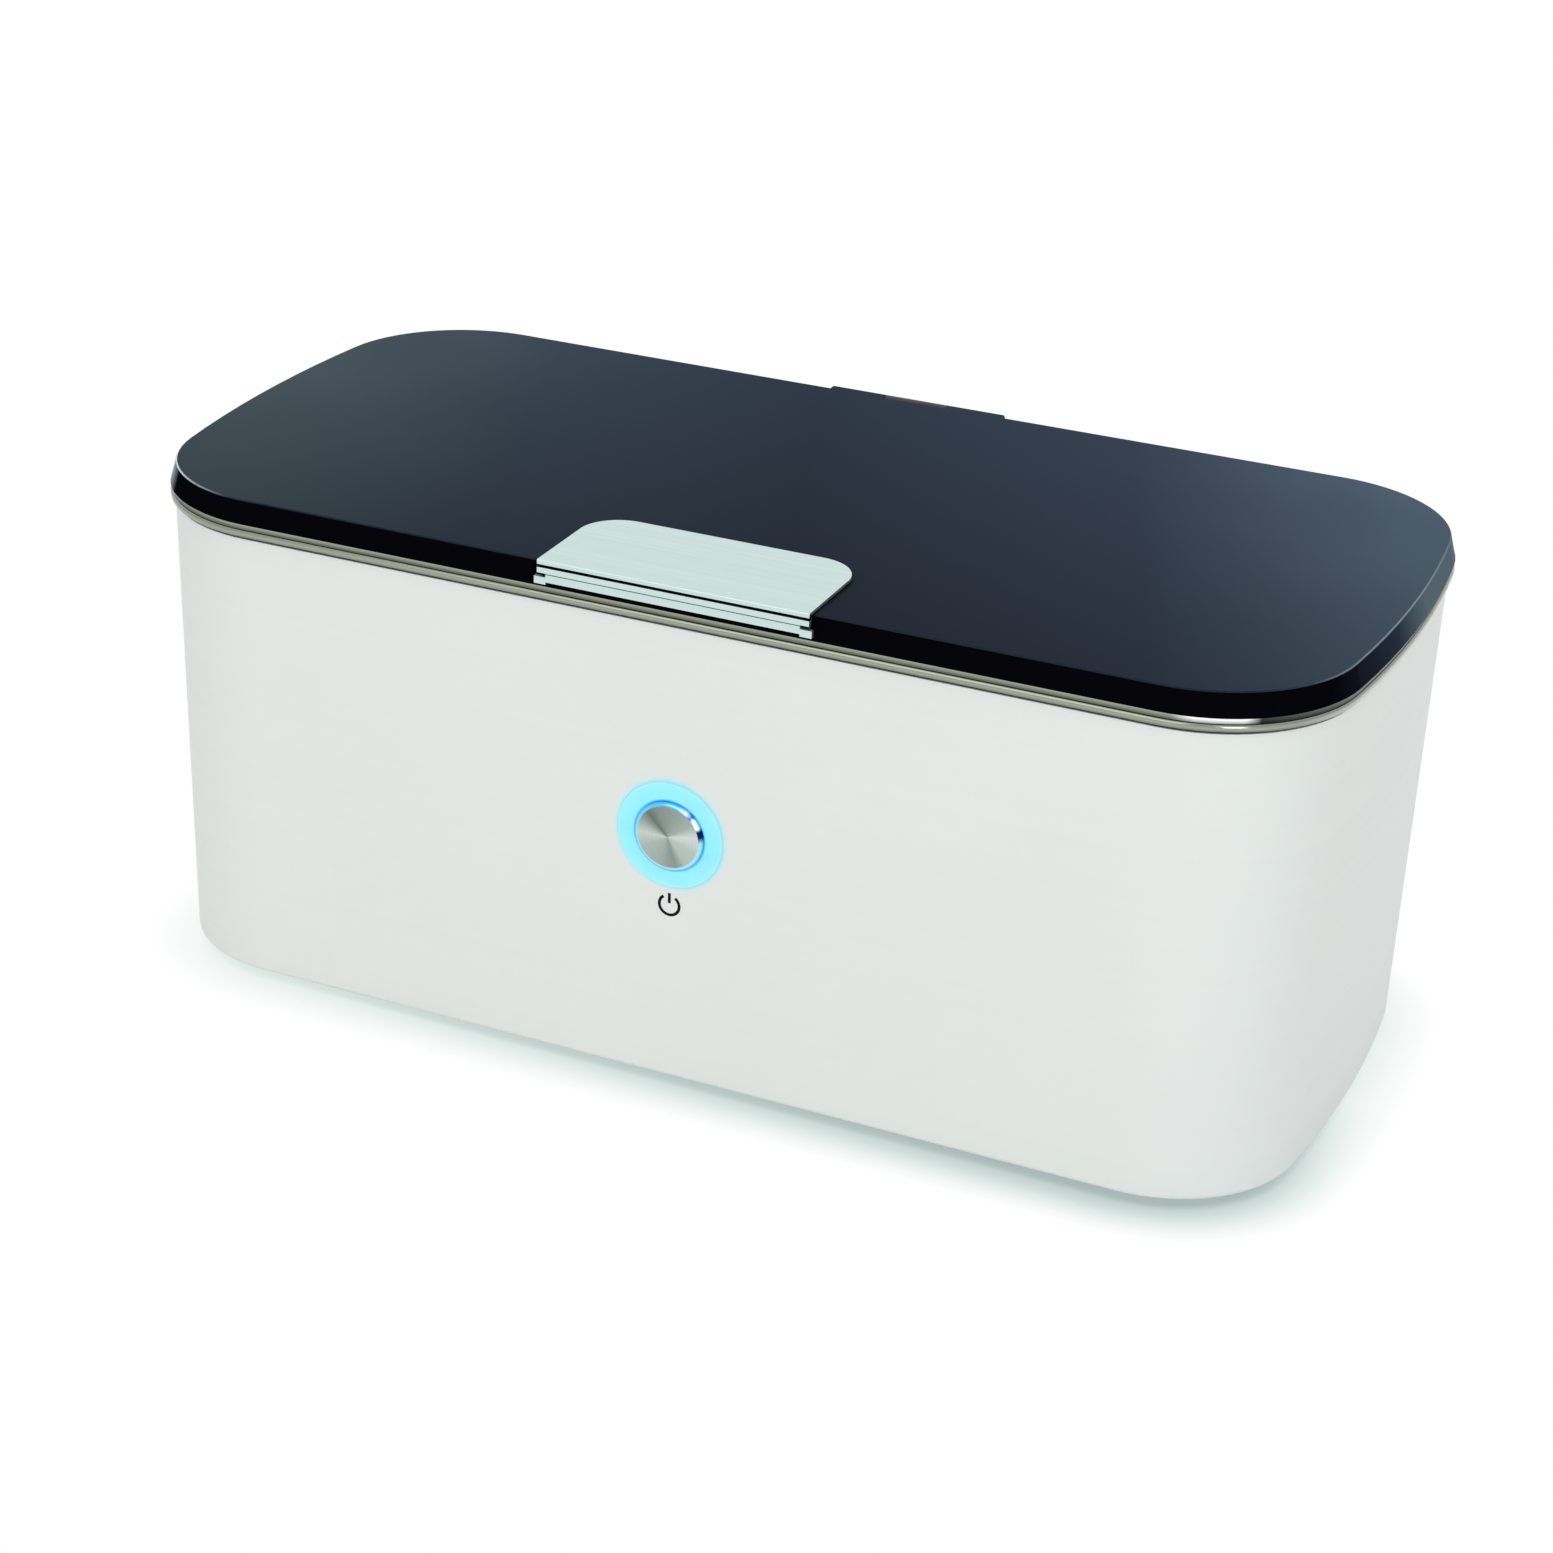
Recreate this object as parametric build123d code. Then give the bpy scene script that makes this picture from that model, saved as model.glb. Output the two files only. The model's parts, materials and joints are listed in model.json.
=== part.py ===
from build123d import *
import math
import os

# Bench-top ultrasonic cleaner for jewelry, closed, standing on its feet
# X runs along the length, Y to the back, Z up from the table

# Housing, outside sizes at its top edge
body_length = 205.0
body_width = 98.0
body_height = 80.0
corner_radius = 24.0
end_radius = 245.0
body_taper = 1.3
wall = 2.5
foot_lift = 1.6
bottom_round = 0.8
ledge_clearance = 1.2
ledge_thickness = 3.0

# Layers between the housing and the lid
gasket_thickness = 0.5
gasket_inset = 0.4
trim_thickness = 1.35
trim_reach = 0.87
trim_round = 0.6
seat_margin = 1.1
sheet = 0.8
flange_reach = 0.45

# Tank
mouth_inset = 9.5
tank_draft = 1.2
tank_bottom_radius = 8.0
mouth_bend = 0.7

# Lid
lid_gap = 0.25
lid_height = 3.8
lid_reach = 0.8
lid_top_inset = 0.27
lid_plate = 2.2
lid_round = 0.3
skirt_thickness = 2.4
rib_gap = 0.9
rib_thickness = 1.4
rib_reach = 1.8
bumper_radius = 2.5
bumper_end_inset = 37.5
bumper_gap = 0.05

# Hinge
barrel_radius = 1.8
barrel_step = 0.2
barrel_standoff = 0.5
hinge_half_width = 16.0
bracket_half_width = 5.8
knuckle_gap = 0.3
pin_radius = 0.8
running_gap = 0.05
press_gap = 0.02
bracket_pad_half_width = 12.0
bracket_pad_height = 17.0
bracket_pad_drop = 2.4
bracket_screw_spacing = 15.0
bracket_corner = 2.0
bracket_chamfer = 0.6
bracket_boss_reach = 3.6
pin_recess = 0.2

# Finger clip on the front of the lid
clip_half_width = 23.0
clip_depth = 22.0
clip_thickness = 0.8
clip_corner = 7.0
clip_bend = 0.15
clip_drop = 2.8
clip_groove = 0.3
clip_groove_depth = 0.5
clip_line_drop = 1.4
clip_line = 0.14
clip_line_depth = 0.2
clip_notch_top = 1.35
clip_notch_height = 0.65
clip_notch_width = 1.5
clip_foot_reach = 0.5
clip_foot_drop = 0.4
clip_land_inset = 0.3

# Push button in the front wall, depths from the wall's outer face
button_height = 44.3
button_travel = 1.0
ring_radius = 9.2
ring_face = 0.4
ring_round = 0.25
ring_seat = 0.6
ring_barrel_radius = 7.8
ring_barrel_wall = 1.7
ring_hole_gap = 0.15
ring_web = 0.8
web_depth = 2.4
cap_gap = 0.15
cap_proud = 0.7
cap_thickness = 1.4
cap_round = 0.7
stem_radius = 1.7
stem_gap = 0.1
catch_radius = 2.4
catch_thickness = 0.6
catch_gap = 0.1
plunger_radius = 1.2
switch_width = 6.2
switch_height = 1.9
switch_floor = 0.2
spring_wire_radius = 0.15
spring_radius = 2.7
spring_turns = 2.0
led_length = 2.0
led_width = 1.4
led_height = 0.9
led_gap = 0.3
led_count = 4
button_board_half_width = 15.0
button_board_above = 9.5
button_board_below = 12.5
button_board_thickness = 1.0
button_screw_x = 12.0
button_screw_y = -9.0
button_boss_radius = 3.0
button_boss_depth = 0.6

# Screws
screw_radius = 1.25
screw_head_radius = 2.3
screw_head_height = 1.4
thread_gap = 0.03
head_gap = 0.2
tip_gap = 0.4
boss_radius = 3.4
boss_floor = 2.0
boss_sink = 0.7
socket_radius = 1.0
socket_depth = 0.7

# Base plate
base_recess = 0.4
base_thickness = 2.6
base_gap = 0.2
base_screw_inset = 30.5
base_boss_height = 12.0
vent_length = 22.0
vent_width = 3.0
vent_pitch = 7.0
vent_rows = 5
vent_columns = 2
vent_column_pitch = 28.0
vent_x = -44.0
foot_radius = 6.5
foot_end_inset = 18.5
foot_side_inset = 20.0
foot_round = 0.6

# Power inlet in the rear wall, for a small figure-eight plug
inlet_shift = 4.0
inlet_height = 18.6
inlet_flange_length = 26.0
inlet_flange_height = 15.0
inlet_flange_thickness = 2.0
inlet_body_length = 20.0
inlet_body_height = 11.0
inlet_depth = 16.0
inlet_corner = 2.0
recess_length = 16.4
recess_height = 7.8
recess_depth = 13.0
recess_waist = 0.8
inlet_latch = 0.9
inlet_latch_length = 4.0
inlet_pin_radius = 1.2
inlet_pin_spacing = 8.6
inlet_pin_length = 10.0
inlet_tail = 4.0
inlet_gap = 0.2

# Transducer under the tank
bond_thickness = 0.3
horn_top_radius = 21.0
horn_height = 14.0
horn_step = 5.0
piezo_radius = 16.0
piezo_bore_radius = 6.0
piezo_thickness = 3.0
electrode_thickness = 0.3
electrode_tab_width = 5.0
electrode_tab_reach = 4.0
back_mass_height = 9.0
back_mass_chamfer = 1.0
bolt_radius = 4.0
bolt_head_radius = 6.5
bolt_head_height = 3.6
bolt_engagement = 9.0
stack_clearance = 3.35
hex_radius = 3.0
hex_depth = 2.4

# Driver board
board_end_gap = 5.7
board_rear_gap = 21.2
board_length = 66.0
board_width = 58.0
board_thickness = 1.6
board_hole_inset = 4.0
standoff_height = 4.0
standoff_radius = 3.0

# Parts on the driver board, placed from its centre
transformer_at = (-10.0, 1.0)
core_length = 25.0
core_depth = 7.0
core_height = 19.0
core_lift = 1.5
core_leg = 3.0
core_centre_leg = 7.0
core_yoke = 3.5
bobbin_depth = 18.0
bobbin_foot = 3.0
bobbin_gap = 0.2
choke_at = (14.8, 4.0)
choke_radius = 6.8
choke_section = 2.4
choke_wire_radius = 0.6
choke_turns = 16
wire_gap = 0.1
bulk_at = (16.0, -17.0)
bulk_radius = 8.0
bulk_height = 24.0
bulk_groove_height = 2.4
bulk_groove_width = 1.0
bulk_groove_depth = 0.6
bulk_cross = 9.0
bulk_cross_width = 0.5
film_at = ((17.5, 21.0), (-13.5, 25.5))
film_size = ((17.0, 9.0, 14.0), (12.0, 5.0, 9.0))
film_round = 0.8
sink_at = (-11.0, -26.0)
sink_length = 28.0
sink_height = 24.0
sink_plate = 2.0
fin_thickness = 1.2
fin_reach = 2.5
fin_pitch = 5.0
fin_count = 6
transistor_spacing = 14.0
transistor_width = 10.0
transistor_depth = 4.4
transistor_lift = 4.0
transistor_body = 9.0
tab_height = 6.5
tab_thickness = 1.3
tab_hole_radius = 1.8
leg_pitch = 2.54
leg_width = 0.9
leg_thickness = 0.6
bridge_at = (2.0, 16.0)
bridge_length = 12.0
bridge_depth = 4.0
bridge_height = 10.0
bridge_lift = 2.0
fuse_at = (29.0, 1.0)
fuse_length = 20.0
fuse_radius = 2.4
fuse_cap_radius = 2.6
fuse_cap_length = 5.0
fuse_lift = 4.2
fuse_clip_width = 6.6
fuse_clip_length = 4.0
fuse_clip_height = 6.4
chip_at = (-15.0, 18.0)
chip_length = 19.0
chip_width = 6.4
chip_height = 3.4
chip_lift = 0.6
chip_pins = 7
chip_pin_width = 0.6
chip_pin_reach = 1.3
chip_pin_height = 2.0
resistor_at = (-20.0, -15.5)
resistor_pitch = 4.6
resistor_count = 5
resistor_radius = 1.2
resistor_length = 6.0
resistor_lift = 0.2
lead_radius = 0.4
lead_inset = 0.8

# Headers, plugs and wires
inlet_header_at = (0.0, 24.0)
tank_header_at = (-28.5, 9.0)
button_header_at = (-28.5, -6.0)
header_length = 10.0
header_depth = 6.0
header_height = 6.0
header_wall = 0.7
header_floor = 1.0
plug_gap = 0.05
plug_height = 8.5
wire_radius = 0.8
wire_pitch = 2.2
wire_rise = 6.0
wire_lead = 4.0
button_wire_x = 5.0
button_wire_drop = 10.0
button_wire_corner = (24.0, -30.0)

# How far cutting shapes run past a face, and how deep joined shapes sink into each other
past = 1.0
overlap = 0.3

# Heights and faces that follow from the sizes above
half_length = body_length / 2
half_width = body_width / 2
housing_top = foot_lift + body_height
trim_z = housing_top + gasket_thickness
flange_z = trim_z + trim_thickness
rim_top = flange_z + sheet
ledge_width = mouth_inset - sheet - ledge_clearance
seat_width = ledge_width - seat_margin
lid_z = rim_top + lid_gap
lid_top = lid_z + lid_height
lid_under = lid_top - lid_plate
lid_front = -(half_width + lid_reach)
skirt_inset = skirt_thickness - lid_reach
rib_inset = mouth_inset + rib_gap
axis_y = half_width + lid_reach + barrel_standoff
axis_z = lid_top - barrel_step - barrel_radius
base_z = foot_lift + base_recess
base_top = base_z + base_thickness
foot_x = half_length - foot_end_inset
foot_y = half_width - foot_side_inset
base_screw_x = half_length - base_screw_inset
bumper_x = half_length - bumper_end_inset

# Transducer stack, from above the base plate up to the tank
bolt_low = base_top + stack_clearance
back_low = bolt_low + bolt_head_height
back_top = back_low + back_mass_height
ground_top = back_top + electrode_thickness
second_piezo_top = ground_top + piezo_thickness
hot_top = second_piezo_top + electrode_thickness
piezo_top = hot_top + piezo_thickness
horn_top = piezo_top + horn_height
tank_under = horn_top + bond_thickness
tank_floor = tank_under + sheet
tab_reach = piezo_radius + electrode_tab_reach

# Driver board, inlet and button
board_z = base_top + standoff_height
board_top = board_z + board_thickness
board_x = half_length - body_taper - wall - board_end_gap - board_length / 2
board_y = half_width - body_taper - wall - board_rear_gap - board_width / 2
inlet_x = board_x - inlet_shift
plug_top = board_top + plug_height
button_z = foot_lift + button_height
inlet_z = foot_lift + inlet_height
wall_tilt = math.atan(body_taper / body_height)
base_screw_y = half_width - body_taper - wall - boss_radius + boss_sink
base_boss_top = base_top + base_boss_height
bracket_boss_end = half_width - wall - bracket_boss_reach
recess_floor = inlet_flange_thickness - recess_depth


def plan(inset):
    """Face of the plan outline moved inwards: straight long sides, bowed ends, round corners."""
    side = half_width - inset
    end = half_length - inset
    corner = corner_radius - inset
    bow = end_radius - inset
    bow_x = end - bow
    corner_y = side - corner
    corner_x = bow_x + math.sqrt((bow - corner) ** 2 - corner_y ** 2)
    turn = math.atan2(corner_y, corner_x - bow_x)
    middle = (turn + math.pi / 2) / 2
    touch = (bow_x + bow * math.cos(turn), bow * math.sin(turn))
    bulge = (corner_x + corner * math.cos(middle), corner_y + corner * math.sin(middle))
    edges = [
        Line((-corner_x, side), (corner_x, side)),
        ThreePointArc((corner_x, side), bulge, touch),
        ThreePointArc(touch, (end, 0), (touch[0], -touch[1])),
        ThreePointArc((touch[0], -touch[1]), (bulge[0], -bulge[1]), (corner_x, -side)),
        Line((corner_x, -side), (-corner_x, -side)),
        ThreePointArc((-corner_x, -side), (-bulge[0], -bulge[1]), (-touch[0], -touch[1])),
        ThreePointArc((-touch[0], -touch[1]), (-end, 0), (-touch[0], touch[1])),
        ThreePointArc((-touch[0], touch[1]), (-bulge[0], bulge[1]), (-corner_x, side)),
    ]
    return Face(Wire(edges))


def slab(inset, low, high):
    return extrude(Pos(0, 0, low) * plan(inset), high - low, dir=(0, 0, 1))


def band(outer_inset, inner_inset, low, high):
    return slab(outer_inset, low, high) - slab(inner_inset, low, high)


def tapered(low_inset, low, high_inset, high):
    return loft([Pos(0, 0, low) * plan(low_inset), Pos(0, 0, high) * plan(high_inset)], ruled=True)


def rod(radius, low, high, x=0.0, y=0.0):
    """Cylinder along Z between two heights."""
    return Pos(x, y, (low + high) / 2) * Cylinder(radius, high - low)


def cone(low_radius, high_radius, low, high):
    return Pos(0, 0, (low + high) / 2) * Cone(low_radius, high_radius, high - low)


def rod_x(radius, low, high, y, z):
    return Pos((low + high) / 2, y, z) * Rot(0, 90, 0) * Cylinder(radius, high - low)


def rod_y(radius, low, high, x, z):
    return Pos(x, (low + high) / 2, z) * Rot(90, 0, 0) * Cylinder(radius, high - low)


def block(x_low, x_high, y_low, y_high, z_low, z_high):
    centre = Pos((x_low + x_high) / 2, (y_low + y_high) / 2, (z_low + z_high) / 2)
    return centre * Box(x_high - x_low, y_high - y_low, z_high - z_low)


def post(length, width, low, high, x=0.0, y=0.0):
    """Upright block centred on a point."""
    return block(x - length / 2, x + length / 2, y - width / 2, y + width / 2, low, high)


def rounded_post(length, width, corner, low, high, x=0.0, y=0.0):
    sketch = Pos(x, y, low) * RectangleRounded(length, width, corner)
    return extrude(sketch, high - low, dir=(0, 0, 1))


def housing_inset(z):
    """How far the tapered wall has moved inwards at a height."""
    return body_taper * (housing_top - z) / body_height


def envelope():
    """The whole space inside the housing's outer skin, its bottom edge rounded."""
    body = tapered(body_taper, foot_lift, 0.0, housing_top)
    return fillet(body.edges().group_by(Axis.Z)[0], bottom_round)


def group(shapes):
    return Compound(children=list(shapes))


def wall_frame(x, z, side):
    """Frame on a long wall: local Z points out of the wall, local Y up along it. side is -1 in front."""
    y = side * (half_width - housing_inset(z))
    outward = (0, side * math.cos(wall_tilt), -math.sin(wall_tilt))
    return Plane(origin=(x, y, z), x_dir=(-side, 0, 0), z_dir=outward).location


front = wall_frame(0.0, button_z, -1)
rear = wall_frame(inlet_x, inlet_z, 1)

# Button depths in the front wall's frame
ring_bore = ring_barrel_radius - ring_barrel_wall
cap_radius = ring_bore - cap_gap
cap_face = ring_face + cap_proud
cap_back = cap_face - cap_thickness
web_front = -web_depth
web_back = web_front - ring_web
catch_front = web_back - catch_gap
catch_back = catch_front - catch_thickness
switch_top = catch_back - button_travel - catch_gap
board_front = switch_top - switch_height
board_back = board_front - button_board_thickness
cap_clear = stem_radius + stem_gap
thread_radius = screw_radius + thread_gap
clear_radius = screw_radius + head_gap
sink_radius = screw_head_radius + head_gap


def corners(x, y):
    return [(x, y), (-x, y), (-x, -y), (x, -y)]


def base_screw_places():
    return [(x, y) for x in (-base_screw_x, 0.0, base_screw_x) for y in (-base_screw_y, base_screw_y)]


def button_screw_places():
    return [(-button_screw_x, button_screw_y), (button_screw_x, button_screw_y)]


def bracket_screw_places():
    z = housing_top - bracket_pad_drop - bracket_pad_height / 2
    return [(-bracket_screw_spacing / 2, z), (bracket_screw_spacing / 2, z)]


def bosses():
    """Screw bosses inside the housing: for the base plate, the hinge bracket and the button's board."""
    outside = envelope()
    shapes = []
    for x, y in base_screw_places():
        shapes.append(rod(boss_radius, base_top, base_boss_top, x, y) & outside)
    for x, z in bracket_screw_places():
        shapes.append(rod_y(boss_radius, bracket_boss_end, half_width - wall, x, z))
    for x, y in button_screw_places():
        shapes.append(front * rod(button_boss_radius, board_front, -wall + overlap, x, y))
    return shapes


def boss_holes():
    shapes = []
    for x, y in base_screw_places():
        shapes.append(rod(thread_radius, base_top - past, base_boss_top - boss_floor, x, y))
    for x, z in bracket_screw_places():
        shapes.append(rod_y(thread_radius, bracket_boss_end - past, half_width + past, x, z))
    for x, y in button_screw_places():
        shapes.append(front * rod(thread_radius, board_front - past, -wall - button_boss_depth, x, y))
    return shapes


def housing():
    """White outer shell with an inner ledge under the rim, openings for the button and the inlet."""
    inner_top = housing_top - ledge_thickness
    inner_high = wall + housing_inset(inner_top)
    shell = envelope() - tapered(body_taper + wall, foot_lift, inner_high, inner_top)
    shell -= slab(ledge_width, inner_top - past, housing_top + past)
    for boss in bosses():
        shell += boss
    for hole in boss_holes():
        shell -= hole
    shell -= front * rod(ring_radius + thread_gap, -ring_seat, past)
    shell -= front * rod(ring_barrel_radius + ring_hole_gap, -wall - past, 0)
    length = inlet_body_length + 2 * inlet_gap
    height = inlet_body_height + 2 * inlet_gap
    return shell - rear * post(length, height, -wall - past, past)


def vent_places():
    columns = [vent_x + vent_column_pitch * (c - (vent_columns - 1) / 2) for c in range(vent_columns)]
    rows = [vent_pitch * (r - (vent_rows - 1) / 2) for r in range(vent_rows)]
    return [(x, y) for x in columns for y in rows]


def standoff_places():
    x = board_length / 2 - board_hole_inset
    y = board_width / 2 - board_hole_inset
    return [on_board(dx, dy) for dx, dy in corners(x, y)]


def base_plate():
    """Bottom cover with cooling slots, screw counterbores and the board's standoffs."""
    plate = slab(body_taper + wall + base_gap, base_z, base_top)
    for x, y in standoff_places():
        plate += rod(standoff_radius, base_top - overlap, board_z, x, y)
    for x, y in base_screw_places():
        plate -= rod(clear_radius, base_z - past, base_top + past, x, y)
        plate -= rod(sink_radius, base_z - past, base_z + screw_head_height, x, y)
    for x, y in standoff_places():
        plate -= rod(thread_radius, base_top, board_z + past, x, y)
    for x, y in vent_places():
        slot = Pos(x, y, base_z - past) * SlotOverall(vent_length, vent_width)
        plate -= extrude(slot, base_thickness + 2 * past, dir=(0, 0, 1))
    return plate


def foot(x, y):
    pad = rod(foot_radius, 0.0, base_z, x, y)
    return fillet(pad.edges().group_by(Axis.Z)[0], foot_round)


def feet():
    return group(foot(x, y) for x, y in corners(foot_x, foot_y))


def drive(x, y, low):
    """Hexagonal recess in a screw's head."""
    return extrude(Pos(x, y, low) * RegularPolygon(socket_radius, 6), socket_depth, dir=(0, 0, 1))


def screw_up(x, y, head_z, tip_z):
    """Screw driven upwards, its head at the bottom."""
    neck = head_z + screw_head_height
    head = rod(screw_head_radius, head_z, neck, x, y)
    return head + rod(screw_radius, neck, tip_z, x, y) - drive(x, y, head_z)


def screw_down(x, y, seat_z, tip_z):
    """Screw driven downwards, its head standing on a seat."""
    top = seat_z + screw_head_height
    head = rod(screw_head_radius, seat_z, top, x, y)
    return head + rod(screw_radius, tip_z, seat_z, x, y) - drive(x, y, top - socket_depth)


def base_screws():
    tip = base_boss_top - boss_floor - tip_gap
    return group(screw_up(x, y, base_z, tip) for x, y in base_screw_places())


def tank():
    """Drawn steel tank: basin with rounded bottom and a flat flange over the trim ring."""
    outer = tapered(mouth_inset - sheet + tank_draft, tank_under, mouth_inset - sheet, rim_top)
    outer = fillet(outer.edges().group_by(Axis.Z)[0], tank_bottom_radius + sheet)
    inner = tapered(mouth_inset + tank_draft, tank_floor, mouth_inset, rim_top)
    inner = fillet(inner.edges().group_by(Axis.Z)[0], tank_bottom_radius)
    basin = slab(-flange_reach, flange_z, rim_top) + outer - inner
    mouth = [edge for edge in basin.edges().group_by(Axis.Z)[-1] if on_outline(edge, mouth_inset)]
    return fillet(mouth, mouth_bend)


def on_outline(edge, inset):
    """Whether a level edge runs along the outline with this inset."""
    box = edge.bounding_box()
    reach_x = max(abs(box.min.X), abs(box.max.X))
    reach_y = max(abs(box.min.Y), abs(box.max.Y))
    near_x = abs(reach_x - half_length + inset) < sheet / 2
    near_y = abs(reach_y - half_width + inset) < sheet / 2
    return box.size.Z < sheet / 2 and (near_x or near_y)


def trim_ring():
    """Rolled stainless band between the housing and the tank flange."""
    ring = band(-trim_reach, seat_width, trim_z, flange_z)
    outer = [edge for edge in ring.edges() if on_outline(edge, -trim_reach)]
    return fillet(outer, trim_round)


def tank_gasket():
    return band(gasket_inset, seat_width, housing_top, trim_z)


def knuckle_spans():
    """The two stretches of the hinge axis that belong to the lid."""
    inner = bracket_half_width + knuckle_gap
    return [(-hinge_half_width, -inner), (inner, hinge_half_width)]


def lid():
    """Smoke-tinted lid: plate, leaning skirt, locating rib, land behind the clip, two hinge knuckles."""
    cover = tapered(-lid_reach, lid_z, lid_top_inset, lid_top)
    cover = fillet(cover.edges().group_by(Axis.Z)[-1], lid_round)
    land = clip_half_width - clip_land_inset
    cover += block(-land, land, lid_front, skirt_inset - half_width, lid_z, lid_top)
    cover -= slab(skirt_inset, lid_z - past, lid_under)
    cover += band(rib_inset, rib_inset + rib_thickness, rim_top - rib_reach, lid_under)
    root_y = half_width - skirt_inset + overlap
    for low, high in knuckle_spans():
        cover += rod_x(barrel_radius, low, high, axis_y, axis_z)
        cover += block(low, high, root_y, axis_y, axis_z - barrel_radius, axis_z + barrel_radius)
    notch_y = axis_y - barrel_radius - knuckle_gap
    notch_x = bracket_half_width + knuckle_gap
    cover -= block(-notch_x, notch_x, notch_y, axis_y + barrel_radius, lid_z - past, lid_top + past)
    reach = hinge_half_width + past
    return cover - rod_x(pin_radius + press_gap, -reach, reach, axis_y, axis_z)


def lid_bumpers():
    """Clear pads under the lid, between its skirt and its rib, that meet the flange."""
    y = half_width - (skirt_inset + rib_inset) / 2
    low = rim_top + bumper_gap
    return group(rod(bumper_radius, low, lid_under, *place) for place in corners(bumper_x, y))


def hinge_bracket():
    """Bracket behind the rim: one knuckle, a web down past the rim and a pad on the rear wall."""
    back = axis_y + barrel_radius
    pad_top = housing_top - bracket_pad_drop
    pad_low = pad_top - bracket_pad_height
    half = bracket_half_width
    pad = block(-bracket_pad_half_width, bracket_pad_half_width, half_width - wall, back, pad_low, pad_top)
    pad = fillet(pad.edges().filter_by(Axis.Y), bracket_corner)
    pad = chamfer(pad.faces().sort_by(Axis.Y)[-1].edges(), bracket_chamfer)
    web = block(-half, half, axis_y, back, pad_top - 2 * bracket_corner, axis_z)
    arm = pad + web + rod_x(barrel_radius, -half, half, axis_y, axis_z)
    arm -= envelope()
    arm -= rod_x(pin_radius + running_gap, -half - past, half + past, axis_y, axis_z)
    for x, z in bracket_screw_places():
        arm -= rod_y(thread_radius, half_width - wall - past, back + past, x, z)
        arm -= rod_y(sink_radius, back - screw_head_height, back + past, x, z)
    return arm


def hinge_pin():
    end = hinge_half_width - pin_recess
    pin = rod_x(pin_radius, -end, end, axis_y, axis_z)
    return chamfer(pin.edges().filter_by(GeomType.CIRCLE), pin_recess / 2)


def hinge_screws():
    """Screws driven from the back, turned to run along Y."""
    back = axis_y + barrel_radius
    return group(
        Pos(x, back, z) * Rot(90, 0, 0) * screw_up(0, 0, 0, back - bracket_boss_end - tip_gap)
        for x, z in bracket_screw_places())


def finger_clip():
    """Bent metal plate over the front edge of the lid, with a groove line and notched feet."""
    face = lid_front - clip_thickness
    top = lid_top + clip_thickness
    low = lid_top - clip_drop
    foot_low = low - clip_foot_drop
    half = clip_half_width
    plate = block(-half, half, face, face + clip_depth, lid_top, top)
    plate = fillet(plate.edges().filter_by(Axis.Z).group_by(Axis.Y)[-1], clip_corner)
    notch_top = lid_top - clip_notch_top
    notch_low = notch_top - clip_notch_height
    reach = half + clip_foot_reach
    clip = plate + block(-half, half, face, lid_front, low, top)
    bend = [edge for edge in clip.edges().filter_by(Axis.X) if at_bend(edge, face, top)]
    clip = fillet(bend, clip_bend)
    line_top = lid_top - clip_line_drop
    clip -= block(-half, half, face - past, face + clip_groove_depth, lid_top - clip_groove, lid_top)
    clip -= block(-half, half, face - past, face + clip_line_depth, line_top - clip_line, line_top)
    for side in (-1, 1):
        middle = side * (half - clip_notch_width + reach) / 2
        span = (reach - half + clip_notch_width) / 2
        clip += block(middle - span, middle + span, face, lid_front, foot_low, notch_low)
        clip -= block(middle - span, middle + span, face - past, lid_front, notch_low, notch_top)
    return clip


def at_bend(edge, y, z):
    middle = edge.center()
    return abs(middle.Y - y) + abs(middle.Z - z) < clip_bend / 10


def light_ring():
    """Translucent ring around the button that carries the LED light to the front."""
    ring = rod(ring_radius, -ring_seat, ring_face)
    ring = fillet(ring.edges().group_by(Axis.Z)[-1], ring_round)
    barrel_end = board_front + led_height + led_gap
    ring += rod(ring_barrel_radius, barrel_end, -ring_seat)
    ring -= rod(ring_bore, web_front, ring_face + past)
    ring -= rod(ring_bore, barrel_end - past, web_back)
    ring -= rod(cap_clear, web_back - past, web_front + past)
    return front * ring


def button_cap():
    """Spun metal cap with a guide stem and a catch behind the ring's web."""
    cap = rod(cap_radius, cap_back, cap_face)
    cap = fillet(cap.edges().group_by(Axis.Z)[-1], cap_round)
    cap += rod(stem_radius, catch_front, cap_back)
    cap += rod(catch_radius, catch_back, catch_front)
    return front * cap


def switch_plunger():
    low = board_front + switch_floor + button_travel + running_gap
    return front * rod(plunger_radius, low, catch_back)


def button_spring():
    """Return spring between the cap and the ring's web."""
    free = cap_back - web_front - 2 * spring_wire_radius
    path = Helix(pitch=free / spring_turns, height=free, radius=spring_radius)
    start = Plane(origin=path @ 0, z_dir=path % 0)
    coil = sweep(start * Circle(spring_wire_radius), path=path, is_frenet=True)
    return front * Pos(0, 0, web_front + spring_wire_radius) * coil


def switch_body():
    body = post(switch_width, switch_width, board_front, switch_top)
    return front * (body - rod(plunger_radius + stem_gap, board_front + switch_floor, switch_top + past))


def button_leds():
    radius = (ring_bore + ring_barrel_radius) / 2
    leds = []
    for index in range(led_count):
        turn = 360 / led_count * (index + 0.5)
        led = post(led_width, led_length, board_front, board_front + led_height, radius)
        leds.append(front * Rot(0, 0, turn) * led)
    return group(leds)


def button_board():
    half = button_board_half_width
    board = block(-half, half, -button_board_below, button_board_above, board_back, board_front)
    for x, y in button_screw_places():
        board -= rod(thread_radius, board_back - past, board_front + past, x, y)
    return front * board


def button_screws():
    head = board_back - screw_head_height
    tip = -wall - button_boss_depth - tip_gap
    return group(front * screw_up(x, y, head, tip) for x, y in button_screw_places())


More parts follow.
